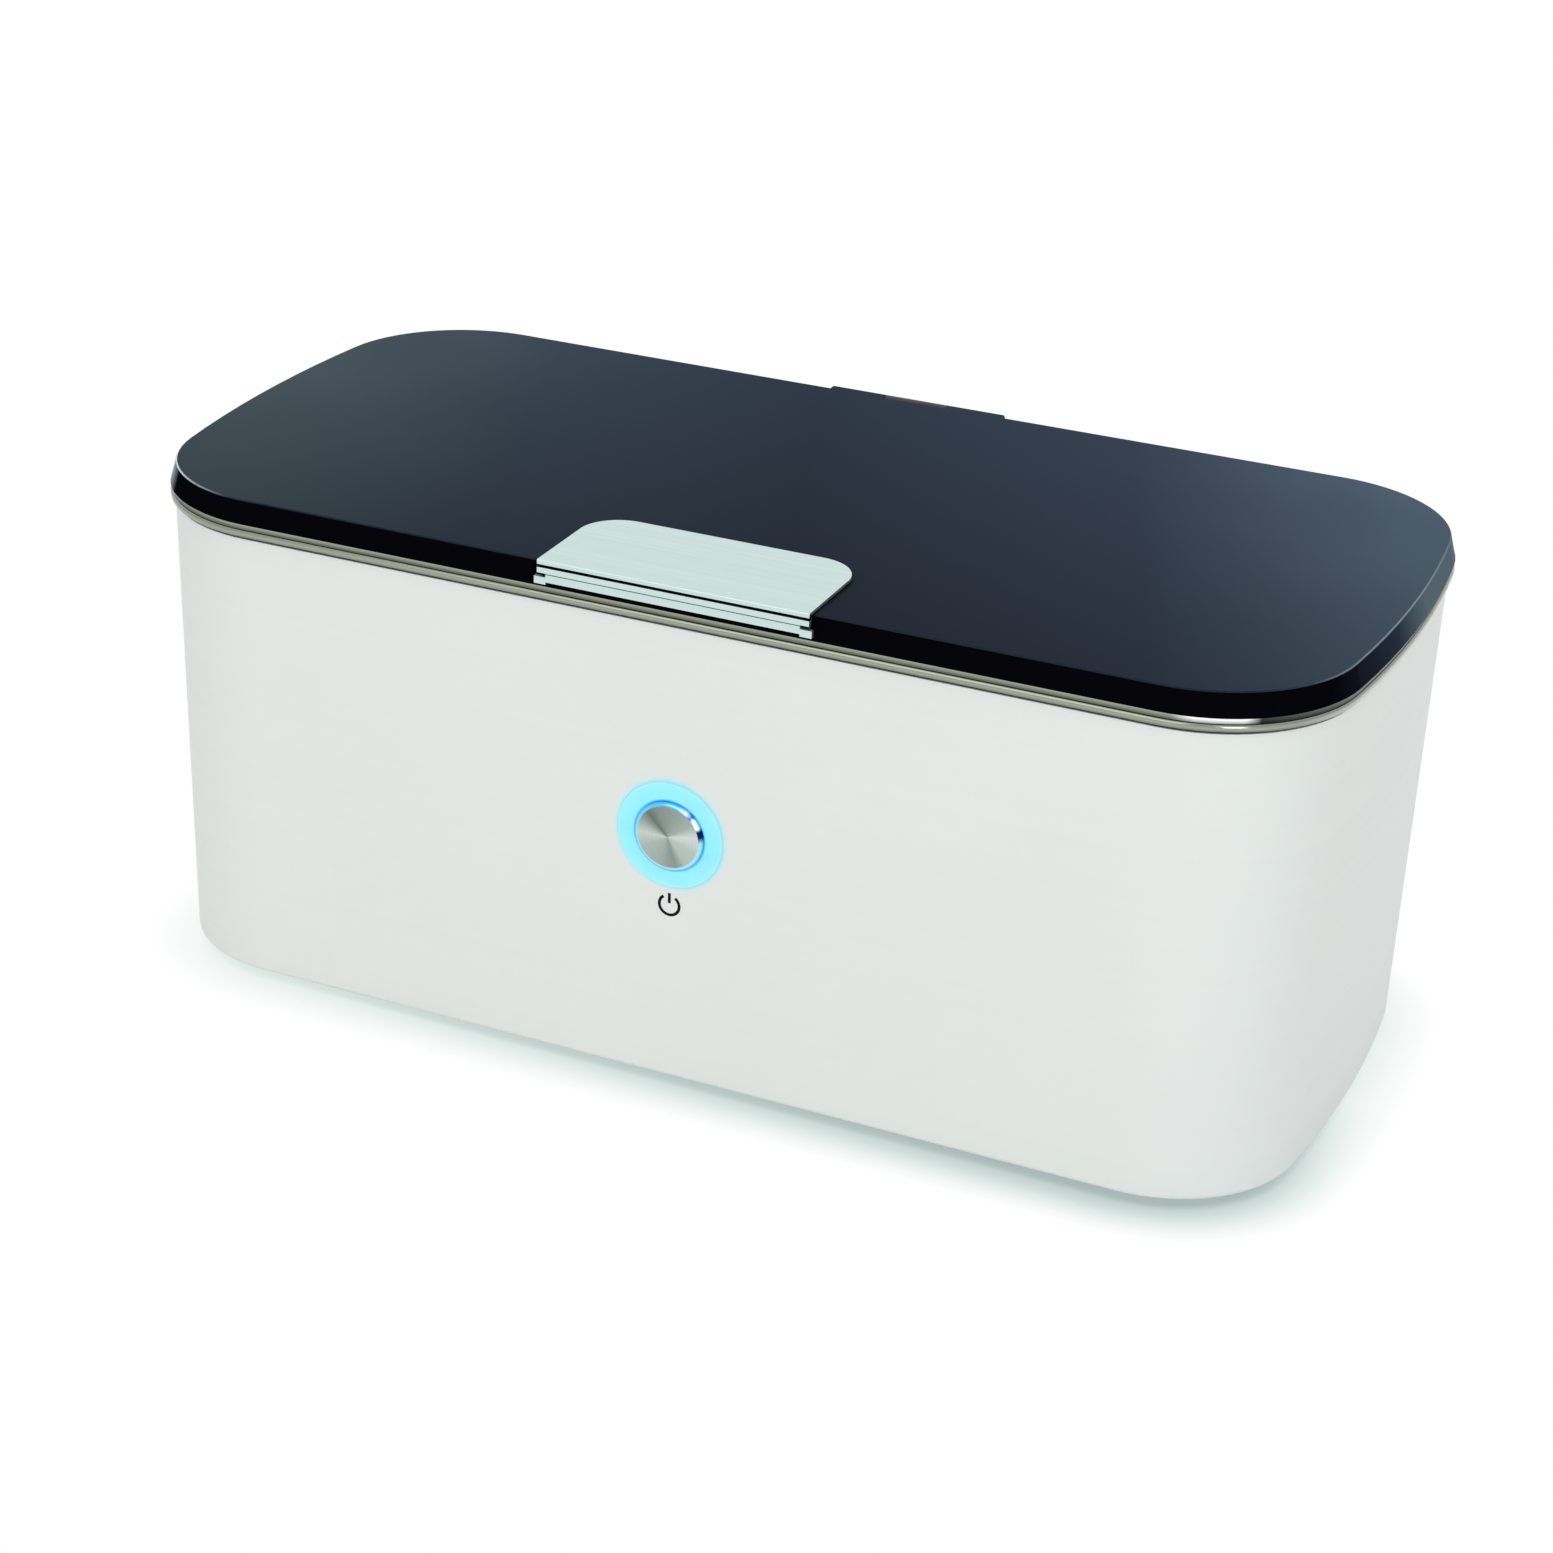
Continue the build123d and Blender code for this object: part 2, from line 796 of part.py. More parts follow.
def power_inlet():
    """Two-pole inlet: flange, snapped-in body and a figure-eight recess."""
    inlet = post(inlet_body_length, inlet_body_height, -inlet_depth, overlap)
    inlet += rounded_post(inlet_flange_length, inlet_flange_height, inlet_corner, 0, inlet_flange_thickness)
    for side in (-1, 1):
        edge = side * inlet_body_length / 2
        inlet += post(inlet_latch * 2, inlet_body_height / 2, -wall - inlet_latch_length, -wall, edge)
    lobe = recess_height / 2
    shift = (recess_length - recess_height) / 2
    mouth = inlet_flange_thickness + past
    recess = rod(lobe, recess_floor, mouth, -shift) + rod(lobe, recess_floor, mouth, shift)
    inlet -= recess + post(2 * shift, recess_height - 2 * recess_waist, recess_floor, mouth)
    for side in (-1, 1):
        x = side * inlet_pin_spacing / 2
        inlet -= rod(inlet_pin_radius + press_gap, -inlet_depth - past, recess_floor + past, x)
    return rear * inlet


def inlet_pins():
    pins = []
    for side in (-1, 1):
        x = side * inlet_pin_spacing / 2
        pin = rod(inlet_pin_radius, -inlet_depth - inlet_tail, recess_floor + inlet_pin_length, x)
        pins.append(rear * fillet(pin.edges().group_by(Axis.Z)[-1], inlet_pin_radius / 2))
    return group(pins)


def bond_pad():
    return rod(horn_top_radius - bond_thickness, horn_top, tank_under)


def transducer_horn():
    horn = rod(horn_top_radius, horn_top - horn_step, horn_top)
    horn += cone(piezo_radius, horn_top_radius, piezo_top, horn_top - horn_step)
    return horn - rod(bolt_radius + thread_gap, piezo_top - past, piezo_top + bolt_engagement + tip_gap)


def piezo_rings():
    rings = []
    for top in (piezo_top, second_piezo_top):
        ring = rod(piezo_radius, top - piezo_thickness, top)
        rings.append(ring - rod(piezo_bore_radius, top - piezo_thickness - past, top + past))
    return group(rings)


def electrode(top, side):
    """Thin ring with a solder tab towards the driver board."""
    low = top - electrode_thickness
    y = side * electrode_tab_width
    plate = rod(piezo_radius, low, top)
    plate += block(0, tab_reach, y - electrode_tab_width / 2, y + electrode_tab_width / 2, low, top)
    return plate - rod(piezo_bore_radius, low - past, top + past)


def electrodes():
    return group([electrode(hot_top, 1), electrode(ground_top, -1)])


def transducer_back_mass():
    mass = rod(piezo_radius, back_low, back_top)
    mass = chamfer(mass.edges().group_by(Axis.Z)[0], back_mass_chamfer)
    return mass - rod(bolt_radius + thread_gap, back_low - past, back_top + past)


def transducer_bolt():
    head = rod(bolt_head_radius, bolt_low, back_low)
    head = chamfer(head.edges().group_by(Axis.Z)[0], back_mass_chamfer / 2)
    socket = extrude(Pos(0, 0, bolt_low) * RegularPolygon(hex_radius, 6), hex_depth, dir=(0, 0, 1))
    return head + rod(bolt_radius, back_low, piezo_top + bolt_engagement) - socket


def on_board(dx, dy):
    """A place on the driver board, from its centre."""
    return board_x + dx, board_y + dy


def main_board():
    board = post(board_length, board_width, board_z, board_top, board_x, board_y)
    for x, y in standoff_places():
        board -= rod(clear_radius, board_z - past, board_top + past, x, y)
    return board


def board_screws():
    return group(screw_down(x, y, board_top, base_top + tip_gap) for x, y in standoff_places())


core_low = board_top + core_lift
window_width = (core_length - 2 * core_leg - core_centre_leg) / 2
window_low = core_low + core_yoke
window_high = core_low + core_height - core_yoke


def transformer_core():
    """Two E halves: outer legs and yokes around the bobbin."""
    x, y = on_board(*transformer_at)
    core = post(core_length, core_depth, core_low, core_low + core_height, x, y)
    shift = (core_centre_leg + window_width) / 2
    for side in (-1, 1):
        core -= post(window_width, core_depth + past, window_low, window_high, x + side * shift, y)
    return core


def transformer_winding():
    """Bobbin with its winding around the centre leg."""
    x, y = on_board(*transformer_at)
    low = window_low + bobbin_gap
    high = window_high - bobbin_gap
    length = core_centre_leg + 2 * window_width - 2 * bobbin_gap
    inside = core_centre_leg + 2 * bobbin_gap
    winding = rounded_post(length, bobbin_depth, window_width / 2, low, high, x, y)
    for side in (-1, 1):
        edge = y + side * (bobbin_depth - bobbin_foot) / 2
        winding += post(length, bobbin_foot, board_top, low + overlap, x, edge)
    return winding - post(inside, core_depth + 2 * bobbin_gap, low - past, high + past, x, y)


def choke_place():
    x, y = on_board(*choke_at)
    return Pos(x, y, board_top + choke_section + 2 * choke_wire_radius + bobbin_gap)


def choke_core():
    return choke_place() * Torus(choke_radius, choke_section)


def choke_winding():
    """Turns of thick wire around the toroid."""
    turn = Torus(choke_section + choke_wire_radius + wire_gap, choke_wire_radius)
    coils = []
    for index in range(choke_turns):
        angle = 360 * index / choke_turns
        coils.append(choke_place() * Rot(0, 0, angle) * Pos(choke_radius, 0, 0) * Rot(90, 0, 0) * turn)
    return group(coils)


def bulk_capacitor():
    """Round can with a crimp groove near its foot and a cross-shaped vent on top."""
    x, y = on_board(*bulk_at)
    top = board_top + bulk_height
    can = rod(bulk_radius, board_top, top, x, y)
    can = fillet(can.edges().group_by(Axis.Z)[-1], film_round)
    low = board_top + bulk_groove_height
    high = low + bulk_groove_width
    can -= rod(bulk_radius + past, low, high, x, y) - rod(bulk_radius - bulk_groove_depth, low, high, x, y)
    can -= post(bulk_cross, bulk_cross_width, top - bulk_cross_width, top + past, x, y)
    return can - post(bulk_cross_width, bulk_cross, top - bulk_cross_width, top + past, x, y)


def film_capacitors():
    capacitors = []
    for place, (length, width, height) in zip(film_at, film_size):
        x, y = on_board(*place)
        box = rounded_post(length, width, film_round, board_top, board_top + height, x, y)
        capacitors.append(chamfer(box.edges().group_by(Axis.Z)[-1], film_round / 2))
    return group(capacitors)


def heat_sink():
    """Aluminium profile: an upright plate with fins to the front."""
    x, y = on_board(*sink_at)
    top = board_top + sink_height
    sink = post(sink_length, sink_plate, board_top, top, x, y)
    for index in range(fin_count):
        fin_x = x + fin_pitch * (index - (fin_count - 1) / 2)
        root = y - sink_plate / 2 + overlap
        tip = y - sink_plate / 2 - fin_reach
        sink += block(fin_x - fin_thickness / 2, fin_x + fin_thickness / 2, tip, root, board_top, top)
    return sink


def transistor(x, y):
    """Power transistor with its metal tab, standing on three legs."""
    low = board_top + transistor_lift
    high = low + transistor_body
    middle = y + transistor_depth / 2
    device = post(transistor_width, transistor_depth, low, high, x, middle)
    tab = post(transistor_width, tab_thickness, high, high + tab_height, x, y + tab_thickness / 2)
    hole_z = high + tab_height / 2
    device += tab - rod_y(tab_hole_radius, y - past, y + tab_thickness + past, x, hole_z)
    for leg in (-leg_pitch, 0, leg_pitch):
        device += post(leg_width, leg_thickness, board_top, low, x + leg, middle)
    return device


def transistors():
    x, y = on_board(*sink_at)
    shift = transistor_spacing / 2
    return group(transistor(x + side * shift, y + sink_plate / 2) for side in (-1, 1))


def bridge_rectifier():
    x, y = on_board(*bridge_at)
    low = board_top + bridge_lift
    body = post(bridge_length, bridge_depth, low, low + bridge_height, x, y)
    pitch = bridge_length / 4
    for leg in (-1.5, -0.5, 0.5, 1.5):
        body += post(leg_width, leg_thickness, board_top, low, x + leg * pitch, y)
    return body


def fuse():
    """Glass tube fuse with its metal end caps."""
    x, y = on_board(*fuse_at)
    z = board_top + fuse_lift
    end = fuse_length / 2
    tube = rod_y(fuse_radius, y - end, y + end, x, z)
    tube += rod_y(fuse_cap_radius, y - end, y - end + fuse_cap_length, x, z)
    return tube + rod_y(fuse_cap_radius, y + end - fuse_cap_length, y + end, x, z)


def fuse_clips():
    x, y = on_board(*fuse_at)
    z = board_top + fuse_lift
    top = board_top + fuse_clip_height
    clips = []
    for side in (-1, 1):
        middle = y + side * (fuse_length - fuse_cap_length) / 2
        clip = post(fuse_clip_width, fuse_clip_length, board_top, top, x, middle)
        clip -= rod_y(fuse_cap_radius + press_gap, middle - fuse_length, middle + fuse_length, x, z)
        clips.append(clip - post(2 * fuse_radius, fuse_length, z, top + past, x, middle))
    return group(clips)


def control_chip():
    """Chip in a two-row package with a round mark at pin one."""
    x, y = on_board(*chip_at)
    low = board_top + chip_lift
    chip = post(chip_length, chip_width, low, low + chip_height, x, y)
    edge = (chip_width + chip_pin_reach) / 2 - overlap / 2
    for index in range(chip_pins):
        pin_x = x + leg_pitch * (index - (chip_pins - 1) / 2)
        for side in (-1, 1):
            pin = post(chip_pin_width, chip_pin_reach + overlap, board_top, board_top + chip_pin_height,
                       pin_x, y + side * edge)
            chip += pin
    top = low + chip_height
    mark_x = x - chip_length / 2 + chip_pin_height
    return chip - rod(chip_pin_width, top - chip_pin_width / 2, top + past, mark_x, y)


def resistors():
    bodies = []
    for index in range(resistor_count):
        x, y = on_board(resistor_at[0] + resistor_pitch * index, resistor_at[1])
        z = board_top + resistor_radius + resistor_lift
        end = resistor_length / 2
        body = rod_y(resistor_radius, y - end, y + end, x, z)
        for side in (-1, 1):
            body += rod(lead_radius, board_top, z, x, y + side * (end - lead_inset))
        bodies.append(body)
    return group(bodies)


def header_shapes():
    """Place and size of each header on the board: x, y, length, width."""
    shapes = [(*on_board(*inlet_header_at), header_length, header_depth)]
    for place in (tank_header_at, button_header_at):
        shapes.append((*on_board(*place), header_depth, header_length))
    return shapes


def board_connectors():
    top = board_top + header_height
    floor = board_top + header_floor
    sides = 2 * header_wall
    headers = []
    for x, y, length, width in header_shapes():
        header = post(length, width, board_top, top, x, y)
        headers.append(header - post(length - sides, width - sides, floor, top + past, x, y))
    return group(headers)


def wire_plugs():
    low = board_top + header_floor
    sides = 2 * (header_wall + plug_gap)
    plugs = []
    for x, y, length, width in header_shapes():
        plugs.append(post(length - sides, width - sides, low, plug_top, x, y))
    return group(plugs)


def wire(points):
    """Round wire along straight runs joined by arcs as large as the runs allow."""
    radii = []
    for before, here, after in zip(points, points[1:], points[2:]):
        first = Vector(*here) - Vector(*before)
        second = Vector(*after) - Vector(*here)
        turn = math.radians(first.get_angle(second))
        radii.append(0.45 * min(first.length, second.length) / math.tan(turn / 2))
    path = FilletPolyline(*points, radius=radii)
    start = Plane(origin=path @ 0, z_dir=path % 0)
    return sweep(start * Circle(wire_radius), path=path)


def plug_entry(x, y):
    """Last two points of a wire: down into the top of its plug."""
    return [(x, y, plug_top + wire_rise), (x, y, plug_top)]


def inlet_wires():
    x_plug, y_plug = on_board(*inlet_header_at)
    tail = -inlet_depth - inlet_tail
    wires = []
    for side in (-1, 1):
        x_pin = -side * inlet_pin_spacing / 2
        points = [tuple((rear * Pos(x_pin, 0, depth)).position) for depth in (tail, tail - wire_lead)]
        wires.append(wire(points + plug_entry(x_plug + side * wire_pitch / 2, y_plug)))
    return group(wires)


def transducer_wires():
    x_plug, y_plug = on_board(*tank_header_at)
    wires = []
    for top, side in ((hot_top, 1), (ground_top, -1)):
        y_tab = side * electrode_tab_width
        middle = tab_reach - electrode_tab_reach / 2
        points = [(x, y_tab, top + wire_radius) for x in (middle, tab_reach + wire_lead)]
        wires.append(wire(points + plug_entry(x_plug, y_plug + side * wire_pitch / 2)))
    return group(wires)


def button_wires():
    """Three wires from the button's board around the transducer to the driver board."""
    x_plug, y_plug = on_board(*button_header_at)
    depth = board_back - wire_radius
    wires = []
    for index in (-1, 0, 1):
        shift = index * wire_pitch
        top = -button_board_below + wire_pitch
        starts = [(button_wire_x + shift, y, depth) for y in (top, top - button_wire_drop)]
        points = [tuple((front * Pos(*start)).position) for start in starts]
        corner_x, corner_y = button_wire_corner
        points.append((corner_x + shift / 2, corner_y - shift, plug_top + wire_lead))
        wires.append(wire(points + plug_entry(x_plug, y_plug - shift)))
    return group(wires)


PARTS = (
    housing, base_plate, feet, base_screws, tank, trim_ring, tank_gasket,
    lid, lid_bumpers, finger_clip, hinge_bracket, hinge_pin, hinge_screws,
    light_ring, button_cap, switch_plunger, button_spring, switch_body, button_leds,
    button_board, button_screws, power_inlet, inlet_pins,
    bond_pad, transducer_horn, piezo_rings, electrodes, transducer_back_mass, transducer_bolt,
    main_board, board_screws, transformer_core, transformer_winding, choke_core, choke_winding,
    bulk_capacitor, film_capacitors, heat_sink, transistors, bridge_rectifier, fuse, fuse_clips,
    control_chip, resistors, board_connectors, wire_plugs,
    inlet_wires, transducer_wires, button_wires,
)

os.makedirs("parts", exist_ok=True)
for part in PARTS:
    shape = part()
    shape.label = part.__name__
    export_step(shape, os.path.join("parts", part.__name__ + ".step"))
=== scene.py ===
import bmesh
import bpy
import json
import math
from mathutils import Matrix, Vector


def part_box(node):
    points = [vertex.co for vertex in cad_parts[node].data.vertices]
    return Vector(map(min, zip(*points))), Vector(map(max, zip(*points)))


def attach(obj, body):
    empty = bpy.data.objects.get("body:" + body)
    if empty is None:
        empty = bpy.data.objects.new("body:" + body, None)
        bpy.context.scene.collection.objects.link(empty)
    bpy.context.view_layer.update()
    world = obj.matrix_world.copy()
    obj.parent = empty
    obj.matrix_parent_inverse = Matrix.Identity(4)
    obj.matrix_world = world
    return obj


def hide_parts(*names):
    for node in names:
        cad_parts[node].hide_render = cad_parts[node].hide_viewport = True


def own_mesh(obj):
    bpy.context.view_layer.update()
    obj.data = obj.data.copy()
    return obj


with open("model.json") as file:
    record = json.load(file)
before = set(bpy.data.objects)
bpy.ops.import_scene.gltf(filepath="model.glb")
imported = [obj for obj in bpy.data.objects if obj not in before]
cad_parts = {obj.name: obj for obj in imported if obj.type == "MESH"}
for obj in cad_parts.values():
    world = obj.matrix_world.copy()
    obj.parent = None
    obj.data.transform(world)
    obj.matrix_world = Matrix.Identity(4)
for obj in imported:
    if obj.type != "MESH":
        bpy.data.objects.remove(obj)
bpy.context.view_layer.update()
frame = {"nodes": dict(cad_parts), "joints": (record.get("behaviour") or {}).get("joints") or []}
NODES = frame["nodes"]
MM = 0.001
WHITE = (1.0, 1.0, 1.0, 1.0)

# Camera, fitted to the photograph's perspective
CAMERA_AT = Vector((209.628, -502.932, 292.239)) * MM
CAMERA_AZIMUTH = math.radians(25.155)
CAMERA_ELEVATION = math.radians(25.267)
CAMERA_ROLL = math.radians(1.3095)
CAMERA_NEAR = 0.01
CAMERA_FAR = 50.0
IMAGE_SIZE = 1553
FOCAL_PIXELS = 3526.9
CENTRE_COLUMN = 650
SENSOR = 36.0

# Button in the front wall, which leans out a little towards its top
PRESS_JOINT = next(joint for joint in frame["joints"] if joint["name"] == "button_press")
PRESS = Vector(PRESS_JOINT["axis"])
UP_WALL = Vector((0.0, -PRESS.z, PRESS.y))
WALL_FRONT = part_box("housing")[0].y
WALL_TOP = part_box("housing")[1].z
RING_LOW, RING_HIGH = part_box("light_ring")
BUTTON_AT = (RING_LOW + RING_HIGH) / 2

# Radii around the button's axis, in millimetres
CAP_FACE = 5.25
CAP_EDGE = 5.4
RING_INSIDE = 6.0
RING_RIM = RING_HIGH.x / MM
GLOW_REACH = 1.0

# Rim and lid
TRIM_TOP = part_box("trim_ring")[1].z
RIM_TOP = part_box("tank")[1].z
LID_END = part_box("lid")[1].x
LID_SIDE = -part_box("lid")[0].y
LID_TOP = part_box("lid")[1].z
# Lean of the painted sheen bands on the lid's top, and the shift and start of the painted
# highlight line on its edge
LID_SLANT = 0.35
LINE_SHIFT = 8 * MM
LINE_START = 0.8 * LID_END
EDGE_MARGIN = 0.1 * MM

# Share of the light that passes the lid's rounded edge, and its flat top
LID_CLEAR = (0.02, 0.12)

# How far a face points along an axis where its turn starts to show, and where it shows in full
TURNED_UP = (0.32, 0.42)
TURNED_FLAT = (0.95, 0.99)
TURNED_LEFT = (-0.68, -0.84)
TURNED_TO_ENDS = (0.75, 0.95)
TURNED_TO_FRONT = (-0.9, -0.99)
TURNED_FROM_FRONT = (-0.8, -0.6)

# Finger clip: painted shade in its seam and fine groove line below the lid's top, and above it the
# painted shadow at its side walls' foot that fades upwards
CLIP_SEAM = 0.4 * MM
CLIP_LINE_DROP = 1.4 * MM
CLIP_LINE = 0.14 * MM
SEAM_MARGIN = 0.05 * MM
LINE_MARGIN = 0.005 * MM
SHADE_FULL = 0.25 * MM
SHADE_END = 0.375 * MM

# Colour rings along a resistor, and how far from the middle of a gap one starts
BAND_PITCH = 1.2 * MM
BAND_START = (0.42 * MM, 0.44 * MM)

# Printed power sign under the button
SIGN_DROP = 12.6 * MM
SIGN_RADIUS = 1.75 * MM
SIGN_STROKE = 0.5 * MM
SIGN_GAP = math.radians(36)
SIGN_BAR_LOW = 0.35 * MM
SIGN_BAR_HIGH = 2.15 * MM
SIGN_PROUD = 0.03 * MM
SIGN_STEPS = 40

# Dark sheet under the finger clip, a little larger than it, that stands in for its shadow
CLIP_SHADOW_REACH = 0.45 * MM
CLIP_SHADOW_THICKNESS = 0.06 * MM
CLIP_FOOT_REACH = 0.5 * MM
CLIP_CORNER = 7.0 * MM
CLIP_SHADOW_STEPS = 12

# Return spring behind the button's cap
SPRING_TURNS = 2
SPRING_STEPS = 24
WIRE_RADIUS = 0.14 * MM
WIRE_SIDES = 8

# Floor, and how strong its painted shadow is at the object's ends, in front of it and behind it
FLOOR_RADIUS = 3.0
FLOOR_STEPS = 64
SHADOW_REACH = 10 * MM
SHADOW_LEFT = 0.3
SHADOW_RIGHT = 1.5
SHADOW_FRONT = 1.0
SHADOW_BACK = 0.3

# Sky, from a height near the horizon up to one near its top
SKY_LOW = (0.44, 0.47, 0.48, 1.0)
SKY_HIGH = (0.87, 0.893, 0.898, 1.0)
SKY_RISE = (0.15, 0.75)

# Lamps aimed at the object's middle: place, size, watts and tint
LAMP_AIM = Vector((0.0, 0.0, 0.04))
LAMPS = {
    "key": ((-0.25, -1.2, 1.0), (1.0, 1.0), 4.5, (1.0, 0.985, 0.975)),
    "strip": ((0.75, -0.85, 0.45), (0.3, 0.9), 2.8, (0.94, 1.0, 1.0)),
}

# Between these lie most of a noise's values
NOISE_LOW = 0.3
NOISE_HIGH = 0.7


def linear(red, green, blue):
    """Scene colour of an 8-bit display colour."""
    steps = []
    for value in (red, green, blue):
        share = value / 255
        steps.append(share / 12.92 if share <= 0.04045 else ((share + 0.055) / 1.055) ** 2.4)
    return (*steps, 1.0)


class Tree:
    """A node tree that code fills."""

    def __init__(self, tree):
        self.nodes = tree.nodes
        self.links = tree.links

    def node(self, kind, **values):
        """New node. Each value is named after an input, with _ for spaces, or after a setting."""
        made = self.nodes.new(kind)
        for name, value in values.items():
            socket = made.inputs.get(name.replace("_", " "))
            if socket is None:
                setattr(made, name, value)
            else:
                socket.default_value = value
        return made

    def link(self, source, target):
        self.links.new(source, target)


class Shader(Tree):
    """A material's nodes, with a Principled shader as its surface."""

    def __init__(self, name):
        self.material = bpy.data.materials.new(name)
        self.material.use_nodes = True
        super().__init__(self.material.node_tree)
        self.surface = self.nodes["Principled BSDF"]
        self.output = self.nodes["Material Output"]

    def set(self, **values):
        """Constants for inputs of the surface, named with _ for spaces."""
        for name, value in values.items():
            self.surface.inputs[name.replace("_", " ")].default_value = value

    def feed(self, **sources):
        """Sockets for inputs of the surface, named with _ for spaces."""
        for name, source in sources.items():
            self.link(source, self.surface.inputs[name.replace("_", " ")])

    def place(self):
        return self.node("ShaderNodeTexCoord").outputs["Object"]


def part_of(tree, vector, axis):
    split = tree.node("ShaderNodeSeparateXYZ")
    tree.link(vector, split.inputs["Vector"])
    return split.outputs[axis]


def along(shader, axis):
    """Place along one of the object's own axes, in metres."""
    return part_of(shader, shader.place(), axis)


def facing(shader, axis):
    """How far the surface faces along one of the object's own axes, -1 to 1."""
    return part_of(shader, shader.node("ShaderNodeTexCoord").outputs["Normal"], axis)


def worked(tree, kind, first, second=None):
    """Result of a math node on sockets or constants."""
    step = tree.node("ShaderNodeMath", operation=kind)
    for index, value in enumerate((first, second)):
        if value is None:
            continue
        if isinstance(value, (int, float)):
            step.inputs[index].default_value = value
        else:
            tree.link(value, step.inputs[index])
    return step.outputs[0]


def product(tree, *sources):
    result = sources[0]
    for source in sources[1:]:
        result = worked(tree, "MULTIPLY", result, source)
    return result


def within(tree, source, middle, reach):
    """1 where a value is no further than reach from middle, otherwise 0."""
    result = worked(tree, "COMPARE", source, middle)
    result.node.inputs[2].default_value = reach
    return result


def ranged(tree, source, low, high, from_low=NOISE_LOW, from_high=NOISE_HIGH):
    """Maps a grey value from one range to another, without leaving it."""
    step = tree.node(
        "ShaderNodeMapRange", From_Min=from_low, From_Max=from_high, To_Min=low, To_Max=high)
    tree.link(source, step.inputs["Value"])
    return step.outputs["Result"]


def shared(tree, source, start=NOISE_LOW, end=NOISE_HIGH):
    """0 where a grey value is at start, 1 where it is at end."""
    return ranged(tree, source, 0.0, 1.0, start, end)


def ramped(tree, source, start, end, stops):
    """Colours along a range of a grey value. A stop is a share of the range and its colour."""
    ramp = tree.node("ShaderNodeValToRGB")
    elements = ramp.color_ramp.elements
    elements[0].position, elements[0].color = stops[0]
    elements[1].position, elements[1].color = stops[-1]
    for share, colour in stops[1:-1]:
        elements.new(share).color = colour
    tree.link(shared(tree, source, start, end), ramp.inputs["Fac"])
    return ramp.outputs["Color"]


def blended(tree, factor, first, second):
    """Mixes two colours, either constants or sockets."""
    mix = tree.node("ShaderNodeMix", data_type="RGBA")
    tree.link(factor, mix.inputs[0])
    for socket, value in ((mix.inputs[6], first), (mix.inputs[7], second)):
        if isinstance(value, tuple):
            socket.default_value = value
        else:
            tree.link(value, socket)
    return mix.outputs[2]


def scaled(tree, colour, factor):
    """Colour made lighter or darker by a grey value."""
    level = tree.node("ShaderNodeVectorMath", operation="SCALE")
    tree.link(colour, level.inputs[0])
    tree.link(factor, level.inputs["Scale"])
    return level.outputs[0]


def speckle(shader, scale, detail=4.0, roughness=0.55):
    """Fine noise over the object."""
    noise = shader.node("ShaderNodeTexNoise", Scale=scale, Detail=detail, Roughness=roughness)
    shader.link(shader.place(), noise.inputs["Vector"])
    return noise.outputs["Fac"]


def drawn_marks(shader, stretch, detail, roughness):
    """Noise drawn out along an axis. stretch is its scale along x, y and z."""
    spread = shader.node("ShaderNodeMapping", Scale=stretch)
    shader.link(shader.place(), spread.inputs["Vector"])
    marks = shader.node("ShaderNodeTexNoise", Scale=1.0, Detail=detail, Roughness=roughness)
    shader.link(spread.outputs["Vector"], marks.inputs["Vector"])
    return marks.outputs["Fac"]


def grain(shader, source, strength, depth):
    """Bump from a grey value, its depth in metres."""
    bump = shader.node("ShaderNodeBump", Strength=strength, Distance=depth)
    shader.link(source, bump.inputs["Height"])
    shader.feed(Normal=bump.outputs["Normal"])


def fine_texture(shader, roughness, scale=2200.0, depth=0.02 * MM):
    """Fine bump with an uneven sheen, as moulded plastic has."""
    fine = speckle(shader, scale, detail=3.0)
    shader.feed(Roughness=ranged(shader, fine, low=roughness - 0.04, high=roughness + 0.06))
    grain(shader, fine, strength=0.35, depth=depth)


def moulded_plastic(name, colour, shade, roughness):
    """Moulded plastic with a slight drift in its colour."""
    shader = Shader(name)
    drift = shared(shader, speckle(shader, scale=45.0, detail=2.0))
    shader.feed(Base_Color=blended(shader, drift, colour, shade))
    fine_texture(shader, roughness)
    return shader


def clear_plastic(name, colour, roughness):
    shader = Shader(name)
    shader.set(Base_Color=colour, Transmission_Weight=0.9, IOR=1.46)
    fine_texture(shader, roughness, scale=1200.0, depth=0.004 * MM)
    return shader


def brushed_metal(name, colour, shade, roughness, stretch):
    """Metal with fine marks drawn out along an axis."""
    shader = Shader(name)
    shader.set(Metallic=1.0)
    lines = drawn_marks(shader, stretch, detail=5.0, roughness=0.65)
    shader.feed(
        Base_Color=blended(shader, shared(shader, lines), colour, shade),
        Roughness=ranged(shader, lines, low=roughness - 0.05, high=roughness + 0.08))
    grain(shader, lines, strength=0.4, depth=0.008 * MM)
    return shader


def from_button(shader):
    """How far a place lies across and above the button's middle."""
    offset = shader.node("ShaderNodeVectorMath", operation="SUBTRACT")
    offset.inputs[1].default_value = BUTTON_AT
    shader.link(shader.place(), offset.inputs[0])
    return [part_of(shader, offset.outputs[0], axis) for axis in "XZ"]


def button_radius(shader):
    """Distance from the button's axis, in millimetres."""
    squares = [product(shader, side, side) for side in from_button(shader)]
    return worked(shader, "DIVIDE", worked(shader, "SQRT", worked(shader, "ADD", *squares)), MM)


def button_turn(shader):
    """Turn around the button's axis, in whole turns from -0.5 to 0.5."""
    across, rise = from_button(shader)
    return worked(shader, "DIVIDE", worked(shader, "ARCTAN2", rise, across), 2 * math.pi)


